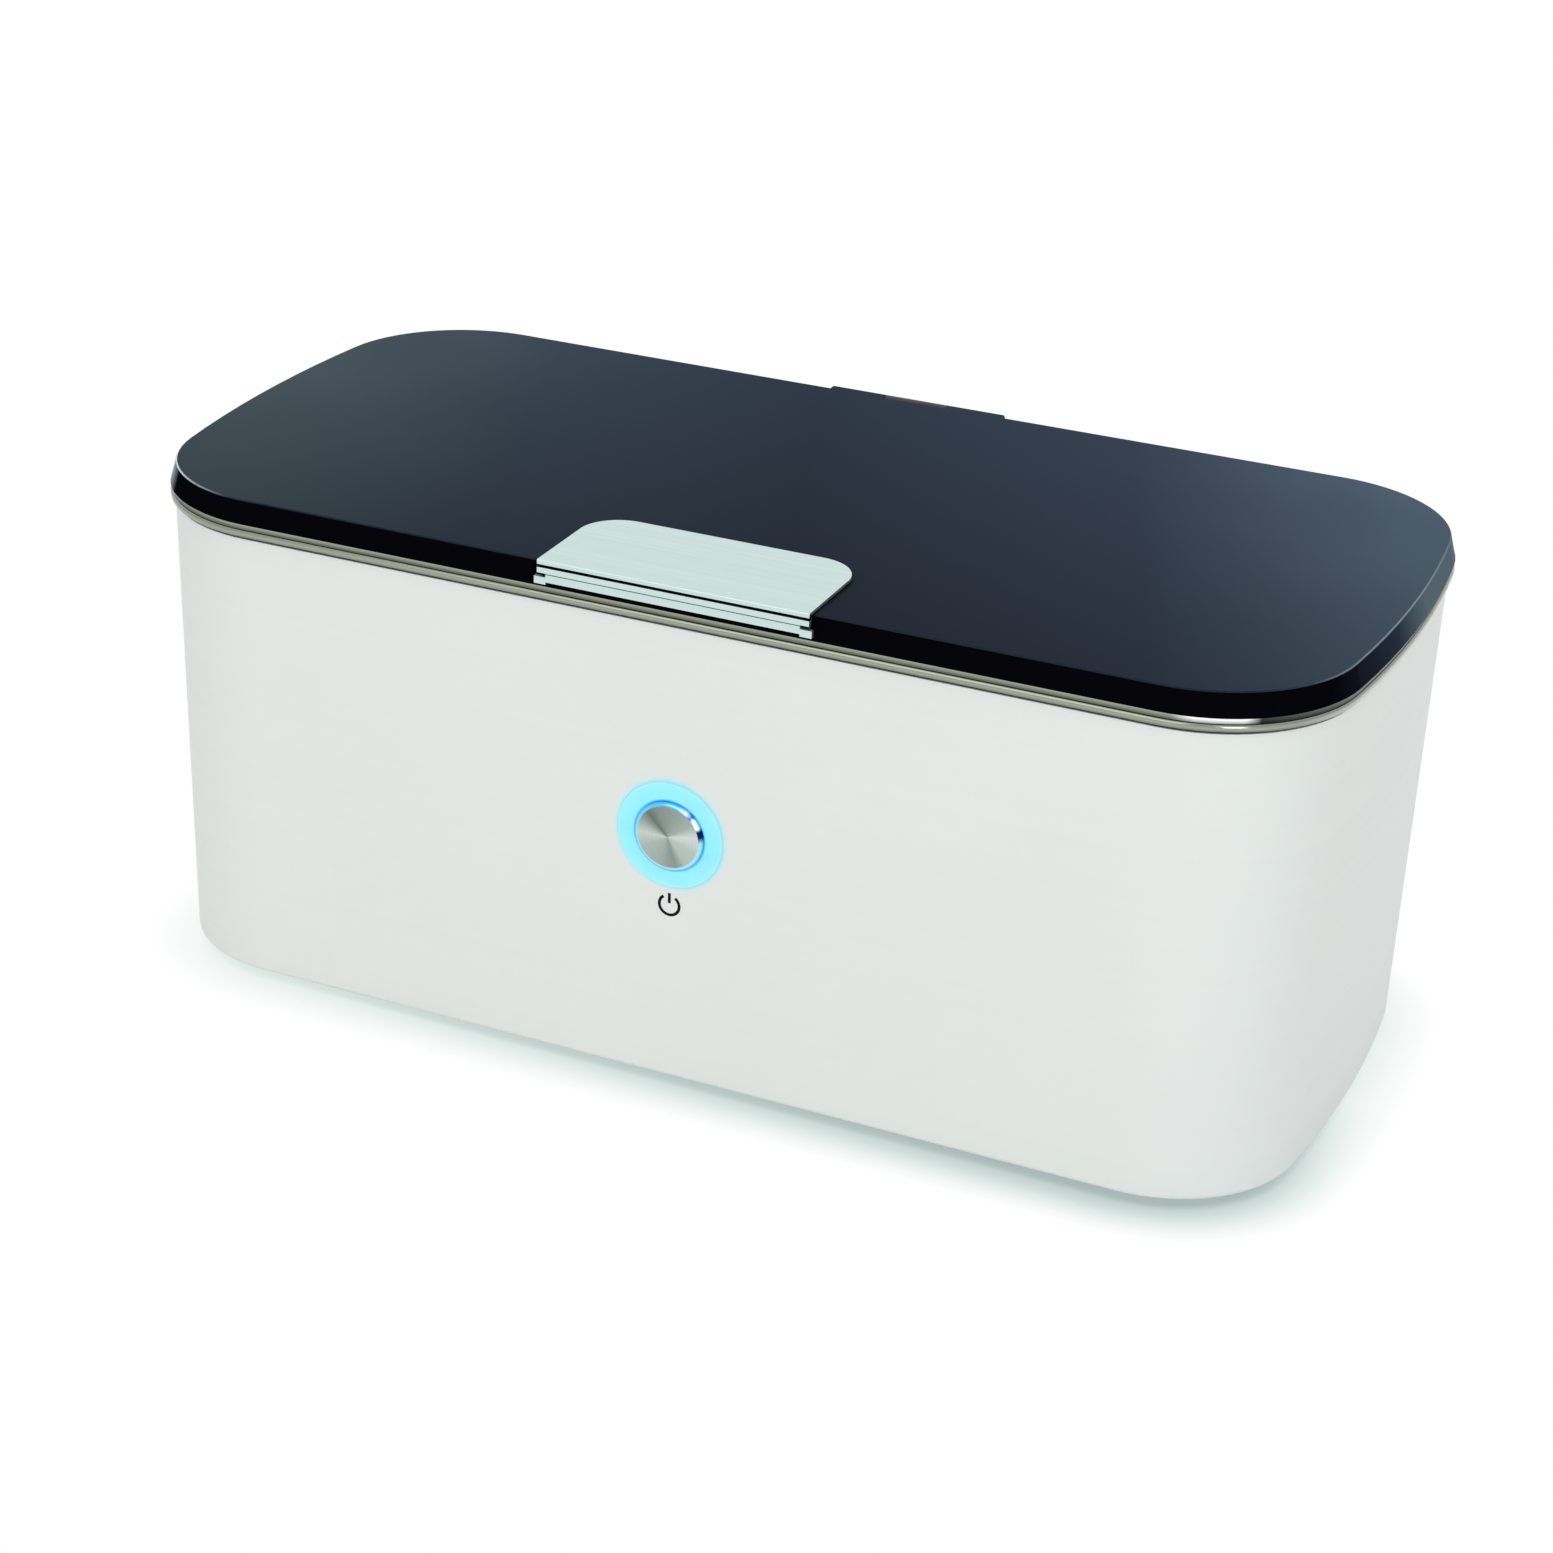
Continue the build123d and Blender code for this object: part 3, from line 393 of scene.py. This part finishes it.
def housing_shell():
    """White satin shell, its texture barely visible, with a narrow painted glow around the lit
    ring.
    """
    shader = Shader("housing_white")
    lines = drawn_marks(shader, stretch=(12.0, 12.0, 900.0), detail=4.0, roughness=0.6)
    drift = shared(shader, speckle(shader, scale=14.0, detail=2.0))
    plain = blended(shader, drift, linear(226, 228, 224), linear(223, 225, 222))
    faint = ranged(shader, lines, low=0.0, high=0.15)
    drawn = blended(shader, faint, plain, linear(216, 219, 216))
    # Painted glow of the lit ring on the front-facing housing, fading out within GLOW_REACH of the
    # ring's rim
    near = shared(shader, button_radius(shader), RING_RIM + GLOW_REACH, RING_RIM)
    in_front = shared(shader, facing(shader, "Y"), *TURNED_TO_FRONT)
    glow = product(shader, near, near, in_front)
    shader.feed(
        Base_Color=blended(shader, glow, drawn, linear(166, 236, 248)),
        Roughness=ranged(shader, lines, low=0.4, high=0.48))
    shader.set(Coat_Weight=0.08, Coat_Roughness=0.25)
    grain(shader, lines, strength=0.12, depth=0.005 * MM)
    return shader


def lit_ring():
    """Ring lit from behind: even pale cyan, deeper blue at its bore, paler at its rim."""
    shader = Shader("ring_light")
    glow = ramped(shader, button_radius(shader), RING_INSIDE, RING_RIM, [
        (0.0, linear(74, 166, 236)),
        (0.05, linear(92, 190, 244)),
        (0.12, linear(148, 237, 252)),
        (0.86, linear(158, 241, 252)),
        (0.94, linear(172, 241, 250)),
        (1.0, linear(160, 222, 234))])
    drift = ranged(shader, speckle(shader, scale=260.0, detail=2.0), low=0.97, high=1.03)
    shader.feed(Emission_Color=scaled(shader, glow, drift))
    shader.set(Base_Color=linear(20, 40, 46), Emission_Strength=1.0)
    shader.set(Roughness=0.4, Specular_IOR_Level=0.1)
    return shader


def spun_cap():
    """Metal cap: face spun to fine rings, with painted sheen in light and dark wedges; edge
    polished, with painted reflections of the lit ring and a painted highlight.
    """
    shader = Shader("cap_steel")
    shader.set(Metallic=1.0)
    radius = button_radius(shader)
    turn = button_turn(shader)
    rings = shader.node(
        "ShaderNodeTexNoise", Scale=14.0, Detail=3.0, Roughness=0.6, noise_dimensions="1D")
    shader.link(radius, rings.inputs["W"])
    spun = rings.outputs["Fac"]
    # Painted sheen: light and dark wedges by the turn around the button's axis
    painted_sheen_wedges = ramped(shader, turn, start=-0.5, end=0.5, stops=[
        (0.0, linear(212, 222, 217)),
        (0.08, linear(182, 194, 188)),
        (0.2, linear(170, 183, 177)),
        (0.3, linear(142, 157, 151)),
        (0.36, linear(190, 202, 196)),
        (0.44, linear(194, 206, 200)),
        (0.53, linear(224, 232, 228)),
        (0.6, linear(172, 186, 180)),
        (0.72, linear(152, 166, 160)),
        (0.81, linear(138, 152, 146)),
        (0.87, linear(104, 119, 113)),
        (0.93, linear(162, 176, 170)),
        (1.0, linear(212, 222, 217))])
    # Painted reflections in the polished edge: pale and deep blue from the lit ring, with a white
    # painted highlight
    edge = ramped(shader, turn, start=-0.5, end=0.5, stops=[
        (0.0, linear(150, 226, 246)),
        (0.25, linear(190, 232, 242)),
        (0.5, linear(176, 228, 240)),
        (0.53, linear(10, 34, 92)),
        (0.56, linear(10, 34, 92)),
        (0.575, linear(246, 252, 252)),
        (0.61, linear(246, 252, 252)),
        (0.63, linear(36, 110, 196)),
        (0.66, linear(216, 240, 250)),
        (0.7, linear(120, 206, 246)),
        (0.78, linear(96, 190, 242)),
        (1.0, linear(150, 226, 246))])
    faint = ranged(shader, spun, low=0.0, high=0.3)
    face = blended(shader, faint, painted_sheen_wedges, linear(120, 128, 124))
    shader.feed(
        Base_Color=blended(shader, shared(shader, radius, CAP_FACE, CAP_EDGE), face, edge),
        Roughness=ranged(shader, spun, low=0.24, high=0.34))
    grain(shader, spun, strength=0.25, depth=0.004 * MM)
    return shader


def lid_face(shader, across, deep):
    """Blue-grey of the lid's top, with painted sheen making it paler towards its ends and its
    back.
    """
    slanted = worked(shader, "ADD", across, product(shader, deep, LID_SLANT))
    # Painted sheen: light and dark bands across the top, leaning by LID_SLANT
    tone = ramped(shader, slanted, -LID_END, LID_END, [
        (0.0, linear(76, 88, 94)),
        (0.25, linear(54, 64, 76)),
        (0.5, linear(43, 51, 63)),
        (0.78, linear(52, 60, 75)),
        (1.0, linear(76, 90, 104))])
    # Painted light: the top grows lighter towards its back
    level = ranged(shader, deep, low=0.72, high=1.45, from_low=-LID_SIDE, from_high=LID_SIDE)
    drift = ranged(shader, speckle(shader, scale=22.0, detail=2.0), low=0.0, high=0.2)
    return blended(shader, drift, scaled(shader, tone, level), linear(50, 58, 72))


def lid_edge_highlight(shader, across):
    """Painted highlight line on the lid's rounded edge, light only at its ends."""
    beyond = worked(shader, "ABSOLUTE", worked(shader, "SUBTRACT", across, LINE_SHIFT))
    return ramped(shader, beyond, LINE_START, LID_END, [
        (0.0, linear(34, 40, 52)),
        (0.3, linear(50, 62, 76)),
        (0.65, linear(140, 158, 170)),
        (1.0, linear(214, 226, 232))])


def lid_wall(shader):
    """Near-black sides of the lid, with a painted reflection of the background making them paler
    at its ends, and a painted highlight at the left end.
    """
    black = linear(5, 5, 10)
    painted_reflection = linear(90, 104, 114)
    wall = ramped(shader, facing(shader, "Y"), start=-1.0, end=1.0, stops=[
        (0.0, black),
        (0.3, black),
        (0.447, linear(18, 19, 30)),
        (0.48, linear(40, 48, 62)),
        (0.51, painted_reflection),
        (0.7, painted_reflection),
        (0.85, black),
        (1.0, black)])
    # Painted highlight where the sides turn to the left end
    return blended(shader, at_left(shader), wall, linear(168, 186, 196))


def at_left(shader):
    """1 where the surface turns to the left end."""
    return shared(shader, facing(shader, "X"), *TURNED_LEFT)


def smoke_lid():
    """Smoke-tinted acrylic, almost opaque."""
    shader = Shader("lid_smoke")
    level = worked(shader, "ABSOLUTE", facing(shader, "Z"))
    across = along(shader, "X")
    face = lid_face(shader, across, along(shader, "Y"))
    upper = blended(shader, shared(shader, level, *TURNED_FLAT), lid_edge_highlight(shader, across), face)
    shader.feed(
        Base_Color=blended(shader, shared(shader, level, *TURNED_UP), lid_wall(shader), upper),
        Roughness=ranged(shader, speckle(shader, scale=40.0), low=0.03, high=0.04),
        Transmission_Weight=ranged(shader, level, *LID_CLEAR, *TURNED_FLAT))
    shader.set(IOR=1.035, Specular_IOR_Level=0.02)
    return shader


def rolled_trim():
    """Polished steel band with painted reflections: tone turning with its rounded section, paler
    at its ends and near white at its left end.
    """
    shader = Shader("trim_steel")
    shader.set(Metallic=1.0)
    # Painted reflection whose tone turns with the band's rounded section
    tone = ramped(shader, facing(shader, "Z"), start=-1.0, end=1.0, stops=[
        (0.0, linear(74, 80, 68)),
        (0.12, linear(98, 104, 90)),
        (0.3, linear(140, 144, 131)),
        (0.5, linear(164, 167, 155)),
        (0.64, linear(150, 154, 142)),
        (0.78, linear(128, 132, 120)),
        (0.9, linear(150, 155, 143)),
        (1.0, linear(92, 100, 84))])
    drift = speckle(shader, scale=60.0, detail=3.0)
    sheen_and_drift = blended(shader, ranged(shader, drift, low=0.0, high=0.3), tone, linear(150, 154, 142))
    # Painted highlight at the band's ends, near white at its left end
    at_ends = shared(shader, worked(shader, "ABSOLUTE", facing(shader, "X")), *TURNED_TO_ENDS)
    paler = blended(shader, at_ends, sheen_and_drift, linear(176, 186, 182))
    shader.feed(
        Base_Color=blended(shader, at_left(shader), paler, linear(238, 242, 240)),
        Roughness=ranged(shader, drift, low=0.12, high=0.18))
    grain(shader, speckle(shader, scale=900.0), strength=0.1, depth=0.002 * MM)
    return shader


def tank_sheet():
    """Satin steel sheet; its flange darker, with painted reflections as bright streaks towards its
    ends and painted shading darker towards its foot.
    """
    shader = Shader("tank_steel")
    shader.set(Metallic=1.0)
    drift = speckle(shader, scale=80.0, detail=3.0)
    basin = blended(shader, shared(shader, drift), linear(206, 207, 202), linear(190, 192, 186))
    # Painted reflections on the flange: dark, with bright streaks where it turns towards its ends
    tone = ramped(shader, facing(shader, "X"), start=-1.0, end=1.0, stops=[
        (0.0, linear(226, 230, 226)),
        (0.08, linear(226, 230, 226)),
        (0.15, linear(84, 90, 80)),
        (0.3, linear(124, 130, 116)),
        (0.55, linear(142, 148, 134)),
        (0.62, linear(236, 240, 236)),
        (0.76, linear(240, 244, 240)),
        (0.8, linear(52, 56, 52)),
        (1.0, linear(96, 104, 98))])
    rise = along(shader, "Z")
    # Painted shading: the flange darker towards its foot, lighter towards its top
    level = ranged(
        shader, rise, low=0.5, high=1.3,
        from_low=TRIM_TOP + EDGE_MARGIN, from_high=RIM_TOP - EDGE_MARGIN)
    above_trim = shared(shader, rise, TRIM_TOP - EDGE_MARGIN, TRIM_TOP)
    shader.feed(
        Base_Color=blended(shader, above_trim, basin, scaled(shader, tone, level)),
        Roughness=ranged(shader, drift, low=0.18, high=0.26))
    grain(shader, speckle(shader, scale=700.0), strength=0.15, depth=0.002 * MM)
    return shader


def clip_sheet():
    """Pale satin sheet, with painted shade grey along its fine groove line and dark in its seam,
    and a dark painted shadow at its side walls' foot.
    """
    shader = brushed_metal(
        "clip_metal", linear(208, 227, 225), linear(202, 222, 220),
        roughness=0.4, stretch=(10.0, 900.0, 900.0))
    plain = shader.surface.inputs["Base Color"].links[0].from_socket
    rise = along(shader, "Z")
    # Painted shade along the fine groove line
    line_middle = LID_TOP - CLIP_LINE_DROP - CLIP_LINE / 2
    line = within(shader, rise, line_middle, CLIP_LINE / 2 + LINE_MARGIN)
    groove_shaded = blended(shader, line, plain, linear(138, 156, 154))
    # Painted shade in the seam, and painted shadow at the foot of the side walls
    seam = within(shader, rise, LID_TOP - CLIP_SEAM / 2, CLIP_SEAM / 2 + SEAM_MARGIN)
    low = shared(shader, rise, LID_TOP + SHADE_END, LID_TOP + SHADE_FULL)
    walls = shared(shader, facing(shader, "Y"), *TURNED_FROM_FRONT)
    above_lid = shared(shader, rise, LID_TOP - EDGE_MARGIN, LID_TOP)
    dark = worked(shader, "MAXIMUM", seam, product(shader, low, walls, above_lid))
    shader.feed(Base_Color=blended(shader, dark, groove_shaded, linear(6, 20, 20)))
    return shader


def by_island(shader, colours):
    """One of several colours for each loose solid of a node."""
    geometry = shader.node("ShaderNodeNewGeometry")
    ramp = shader.node("ShaderNodeValToRGB")
    ramp.color_ramp.interpolation = "CONSTANT"
    ramp.color_ramp.elements[0].color = colours[0]
    ramp.color_ramp.elements[1].position = 1 / len(colours)
    ramp.color_ramp.elements[1].color = colours[1]
    for index in range(2, len(colours)):
        ramp.color_ramp.elements.new(index / len(colours)).color = colours[index]
    shader.link(geometry.outputs["Random Per Island"], ramp.inputs["Fac"])
    return ramp.outputs["Color"]


def wire_jackets():
    """Soft insulation, each wire in its own colour."""
    shader = Shader("wire_insulation")
    colours = (linear(168, 24, 22), linear(22, 22, 24), linear(24, 70, 150))
    shader.feed(Base_Color=by_island(shader, colours))
    fine_texture(shader, roughness=0.42)
    return shader


def circuit_board():
    """Green solder mask over copper tracks."""
    shader = Shader("board_green")
    tracks = shader.node(
        "ShaderNodeTexBrick", Scale=120.0, Mortar_Size=0.03,
        Color1=linear(18, 96, 52), Color2=linear(22, 108, 58), Mortar=linear(10, 66, 36))
    shader.link(shader.place(), tracks.inputs["Vector"])
    shader.feed(
        Base_Color=tracks.outputs["Color"],
        Roughness=ranged(shader, speckle(shader, scale=700.0), low=0.22, high=0.36))
    grain(shader, tracks.outputs["Fac"], strength=0.3, depth=0.03 * MM)
    return shader


def banded_resistor():
    """Lacquered resistor with colour rings along its body."""
    shader = Shader("resistor_body")
    wave = worked(shader, "PINGPONG", along(shader, "Y"), BAND_PITCH / 2)
    ring = shared(shader, wave, *BAND_START)
    shader.feed(Base_Color=blended(shader, ring, linear(206, 178, 128), linear(120, 46, 24)))
    fine_texture(shader, roughness=0.35)
    return shader


def all_shaders():
    """A shader for each of the record's material slots."""
    plastics = {
        "base_plastic": (linear(58, 58, 61), linear(52, 52, 55), 0.6),
        "foot_rubber": (linear(38, 38, 39), linear(33, 33, 34), 0.75),
        "gasket_rubber": (linear(26, 26, 26), linear(21, 21, 22), 0.7),
        "bracket_plastic": (linear(30, 30, 33), linear(25, 25, 28), 0.45),
        "switch_plastic": (linear(36, 36, 38), linear(30, 30, 32), 0.5),
        "led_plastic": (linear(244, 248, 236), linear(238, 243, 228), 0.25),
        "inlet_plastic": (linear(30, 30, 32), linear(26, 26, 28), 0.5),
        "bond_epoxy": (linear(190, 170, 118), linear(176, 156, 104), 0.3),
        "piezo_ceramic": (linear(196, 190, 172), linear(184, 178, 160), 0.55),
        "ferrite": (linear(62, 62, 66), linear(52, 52, 56), 0.5),
        "winding_tape": (linear(222, 196, 70), linear(212, 184, 60), 0.3),
        "capacitor_sleeve": (linear(34, 38, 66), linear(30, 34, 60), 0.25),
        "film_box": (linear(206, 176, 60), linear(196, 166, 52), 0.35),
        "black_epoxy": (linear(34, 34, 35), linear(28, 28, 29), 0.5),
        "connector_nylon": (linear(240, 236, 222), linear(232, 228, 212), 0.4),
    }
    even = (900.0, 900.0, 900.0)
    along_x = (1500.0, 300.0, 300.0)
    along_y = (300.0, 900.0, 300.0)
    along_z = (30.0, 30.0, 1800.0)
    metals = {
        "screw_steel": (linear(196, 196, 192), linear(172, 172, 168), 0.3, even),
        "pin_steel": (linear(198, 198, 196), linear(176, 176, 174), 0.25, along_x),
        "spring_steel": (linear(188, 188, 188), linear(168, 168, 168), 0.25, even),
        "contact_brass": (linear(226, 200, 140), linear(206, 178, 116), 0.28, along_y),
        "horn_aluminium": (linear(222, 224, 226), linear(200, 202, 204), 0.32, along_z),
        "mass_steel": (linear(180, 180, 180), linear(156, 156, 156), 0.35, along_z),
        "copper_wire": (linear(216, 136, 84), linear(190, 110, 62), 0.3, even),
    }
    special = {
        "housing_white": housing_shell,
        "tank_steel": tank_sheet,
        "clip_metal": clip_sheet,
        "trim_steel": rolled_trim,
        "lid_smoke": smoke_lid,
        "ring_light": lit_ring,
        "cap_steel": spun_cap,
        "board_green": circuit_board,
        "resistor_body": banded_resistor,
        "wire_insulation": wire_jackets,
    }
    shaders = {name: moulded_plastic(name, *values) for name, values in plastics.items()}
    shaders.update({name: brushed_metal(name, *values) for name, values in metals.items()})
    shaders.update({name: made() for name, made in special.items()})
    shaders["bumper_clear"] = clear_plastic("bumper_clear", linear(236, 238, 238), 0.3)
    shaders["fuse_glass"] = clear_plastic("fuse_glass", linear(238, 244, 244), 0.05)
    return shaders


def dress_nodes(shaders):
    """Gives each node the shader of its slot."""
    for node in NODES.values():
        slot = node.material_slots[0]
        slot.material = shaders[slot.material.name.split(".")[0]].material


def printed_material():
    """Matt dark ink."""
    shader = Shader("print_ink")
    drift = shared(shader, speckle(shader, scale=3000.0))
    shader.feed(Base_Color=blended(shader, drift, linear(22, 24, 26), linear(16, 18, 20)))
    shader.set(Roughness=0.6, Specular_IOR_Level=0.05)
    return shader.material


def new_mesh(name, build, material):
    """Object from a bmesh that build fills, in the frame's own metres."""
    grown = bmesh.new()
    build(grown)
    bmesh.ops.recalc_face_normals(grown, faces=grown.faces)
    mesh = bpy.data.meshes.new(name)
    grown.to_mesh(mesh)
    grown.free()
    mesh.materials.append(material)
    made = bpy.data.objects.new(name, mesh)
    bpy.context.scene.collection.objects.link(made)
    return made


def join_sections(grown, sections):
    """Closed skin through a row of sections that have the same number of corners."""
    corners = len(sections[0])
    for first, second in zip(sections, sections[1:]):
        for side in range(corners):
            after = (side + 1) % corners
            grown.faces.new((first[side], first[after], second[after], second[side]))
    grown.faces.new(sections[0])
    grown.faces.new(sections[-1])


def on_front_wall(z):
    """Point in the middle of the housing's front face, at a height."""
    return Vector((0.0, WALL_FRONT + PRESS.z / PRESS.y * (WALL_TOP - z), z))


def stroke(grown, points, centre):
    """Raised line of print on the front wall, from points around its centre."""
    sections = []
    for index, point in enumerate(points):
        before = points[max(index - 1, 0)]
        after = points[min(index + 1, len(points) - 1)]
        direction = (after - before).normalized()
        across = Vector((-direction.y, direction.x)) * SIGN_STROKE / 2
        corners = [(point + across, -SIGN_PROUD), (point + across, SIGN_PROUD)]
        corners += [(point - across, SIGN_PROUD), (point - across, -SIGN_PROUD)]
        sections.append([
            grown.verts.new(centre + Vector((spot.x, 0, 0)) + UP_WALL * spot.y - PRESS * proud)
            for spot, proud in corners])
    join_sections(grown, sections)


def power_sign(ink):
    """Generic power sign, an open ring with a bar, printed under the button."""
    centre = on_front_wall(BUTTON_AT.z - SIGN_DROP)
    arc = []
    for step in range(SIGN_STEPS + 1):
        angle = math.pi / 2 + SIGN_GAP + (2 * math.pi - 2 * SIGN_GAP) * step / SIGN_STEPS
        arc.append(Vector((math.cos(angle), math.sin(angle))) * SIGN_RADIUS)
    bar = [Vector((0, SIGN_BAR_LOW)), Vector((0, SIGN_BAR_HIGH))]

    def build(grown):
        stroke(grown, arc, centre)
        stroke(grown, bar, centre)

    sign = new_mesh("power_sign", build, ink)
    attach(sign, "base")


def clip_shadow_sheet(ink):
    """Thin dark sheet between the finger clip and the lid, a painted shadow seen as a fine line
    around the clip.
    """
    low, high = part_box("finger_clip")
    half = high.x - CLIP_FOOT_REACH + CLIP_SHADOW_REACH
    back = high.y + CLIP_SHADOW_REACH
    radius = CLIP_CORNER + CLIP_SHADOW_REACH
    outline = [(half, low.y + CLIP_CORNER)]
    for step in range(CLIP_SHADOW_STEPS + 1):
        turn = math.pi / 2 * step / CLIP_SHADOW_STEPS
        x = half - radius + radius * math.cos(turn)
        y = back - radius + radius * math.sin(turn)
        outline.append((x, y))
    outline += [(-x, y) for x, y in outline[::-1]]

    def build(grown):
        join_sections(grown, [
            [grown.verts.new((x, y, z)) for x, y in outline]
            for z in (LID_TOP - CLIP_SHADOW_THICKNESS, LID_TOP + CLIP_SHADOW_THICKNESS)])

    shadow_sheet = new_mesh("clip_shadow_sheet", build, ink)
    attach(shadow_sheet, "lid")


def return_spring(shaders):
    """Coil behind the cap, in the place of the rigid one."""
    low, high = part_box("button_spring")
    middle = (low + high) / 2
    length = (high.y - low.y - 2 * high.x * PRESS.z) / PRESS.y
    coil_radius = high.x - WIRE_RADIUS
    coil_length = length - 2 * WIRE_RADIUS
    steps = SPRING_TURNS * SPRING_STEPS

    def section(grown, step):
        turn = 2 * math.pi * step / SPRING_STEPS
        out = Vector((math.cos(turn), 0, 0)) + UP_WALL * math.sin(turn)
        centre = middle + out * coil_radius + PRESS * coil_length * (step / steps - 0.5)
        corners = []
        for side in range(WIRE_SIDES):
            angle = 2 * math.pi * side / WIRE_SIDES
            reach = out * math.cos(angle) + PRESS * math.sin(angle)
            corners.append(grown.verts.new(centre + reach * WIRE_RADIUS))
        return corners

    def build(grown):
        join_sections(grown, [section(grown, step) for step in range(steps + 1)])

    spring = new_mesh("return_spring", build, shaders["spring_steel"].material)
    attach(spring, "base")
    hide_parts("button_spring")
    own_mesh(spring)


def background_rays(tree):
    """1 for the rays that show the white background: seen directly, off gloss or through glass."""
    rays = tree.node("ShaderNodeLightPath")
    seen = worked(tree, "MAXIMUM", rays.outputs["Is Camera Ray"], rays.outputs["Is Glossy Ray"])
    return worked(tree, "MAXIMUM", seen, rays.outputs["Is Transmission Ray"])


def background_mix(tree, lit, background):
    """Shader that is background for the rays that show it, and lit for all others."""
    mix = tree.node("ShaderNodeMixShader")
    tree.link(background_rays(tree), mix.inputs["Fac"])
    tree.link(lit.outputs[0], mix.inputs[1])
    tree.link(background.outputs[0], mix.inputs[2])
    return mix.outputs[0]


def floor():
    """White table top with a painted soft shadow at the object's foot, strongest in front on the
    right.
    """
    shader = Shader("floor_white")
    shader.set(Roughness=0.9, Specular_IOR_Level=0.0, Base_Color=(0.9, 0.9, 0.9, 1.0))
    # Painted shadow: occlusion within SHADOW_REACH darkens the floor's emitted white
    open_share = shader.node("ShaderNodeAmbientOcclusion", samples=16, Distance=SHADOW_REACH)
    covered = worked(shader, "SUBTRACT", 1.0, open_share.outputs["AO"])
    to_right = ranged(shader, along(shader, "X"), SHADOW_LEFT, SHADOW_RIGHT, -LID_END, LID_END)
    to_back = ranged(shader, along(shader, "Y"), SHADOW_FRONT, SHADOW_BACK, -LID_SIDE, 0.0)
    clear = worked(shader, "SUBTRACT", 1.0, product(shader, covered, to_right, to_back))
    shade = ramped(shader, clear, start=0.0, end=1.0, stops=[
        (0.0, linear(168, 184, 182)),
        (0.3, linear(187, 202, 199)),
        (0.5, linear(203, 216, 213)),
        (0.75, linear(230, 239, 236)),
        (1.0, WHITE)])
    bright = shader.node("ShaderNodeEmission", Strength=1.0)
    shader.link(shade, bright.inputs["Color"])
    shader.link(background_mix(shader, shader.surface, bright), shader.output.inputs["Surface"])

    def build(grown):
        turns = [2 * math.pi * step / FLOOR_STEPS for step in range(FLOOR_STEPS)]
        grown.faces.new([
            grown.verts.new((FLOOR_RADIUS * math.cos(turn), FLOOR_RADIUS * math.sin(turn), 0.0))
            for turn in turns])

    new_mesh("floor", build, shader.material)


def studio():
    """White background, and an even soft sky that lights the object."""
    world = bpy.data.worlds.new("studio")
    bpy.context.scene.world = world
    world.use_nodes = True
    tree = Tree(world.node_tree)
    sky = tree.nodes["Background"]
    direction = tree.node("ShaderNodeTexCoord").outputs["Generated"]
    rise = shared(tree, part_of(tree, direction, "Z"), *SKY_RISE)
    tree.link(blended(tree, rise, SKY_LOW, SKY_HIGH), sky.inputs["Color"])
    white = tree.node("ShaderNodeBackground", Color=WHITE)
    tree.link(background_mix(tree, sky, white), tree.nodes["World Output"].inputs["Surface"])


def softbox(name, place, size, watts, tint):
    """Rectangular lamp aimed at the object's middle."""
    lamp = bpy.data.lights.new(name, "AREA")
    lamp.shape = "RECTANGLE"
    lamp.size, lamp.size_y = size
    lamp.energy = watts
    lamp.color = tint
    made = bpy.data.objects.new(name, lamp)
    made.location = place
    made.rotation_mode = "QUATERNION"
    made.rotation_quaternion = (LAMP_AIM - Vector(place)).to_track_quat("-Z", "Y")
    bpy.context.scene.collection.objects.link(made)


def camera():
    """Camera at the photograph's viewpoint, turned by azimuth, elevation and roll."""
    back = Vector((
        math.sin(CAMERA_AZIMUTH) * math.cos(CAMERA_ELEVATION),
        -math.cos(CAMERA_AZIMUTH) * math.cos(CAMERA_ELEVATION),
        math.sin(CAMERA_ELEVATION)))
    level = Vector((math.cos(CAMERA_AZIMUTH), math.sin(CAMERA_AZIMUTH), 0.0))
    rise = back.cross(level)
    right = math.cos(CAMERA_ROLL) * level + math.sin(CAMERA_ROLL) * rise
    up = back.cross(right)
    lens = bpy.data.cameras.new("camera")
    lens.sensor_width = SENSOR
    lens.lens = FOCAL_PIXELS * SENSOR / IMAGE_SIZE
    lens.shift_x = (IMAGE_SIZE / 2 - CENTRE_COLUMN) / IMAGE_SIZE
    lens.clip_start = CAMERA_NEAR
    lens.clip_end = CAMERA_FAR
    made = bpy.data.objects.new("camera", lens)
    turned = Matrix((right, up, back)).transposed().to_4x4()
    made.matrix_world = Matrix.Translation(CAMERA_AT) @ turned
    bpy.context.scene.collection.objects.link(made)
    bpy.context.scene.camera = made


bpy.context.scene.view_settings.view_transform = "Standard"
shaders = all_shaders()
dress_nodes(shaders)
ink = printed_material()
clip_shadow_sheet(ink)
power_sign(ink)
return_spring(shaders)
floor()
studio()
for name, values in LAMPS.items():
    softbox(name, *values)
camera()
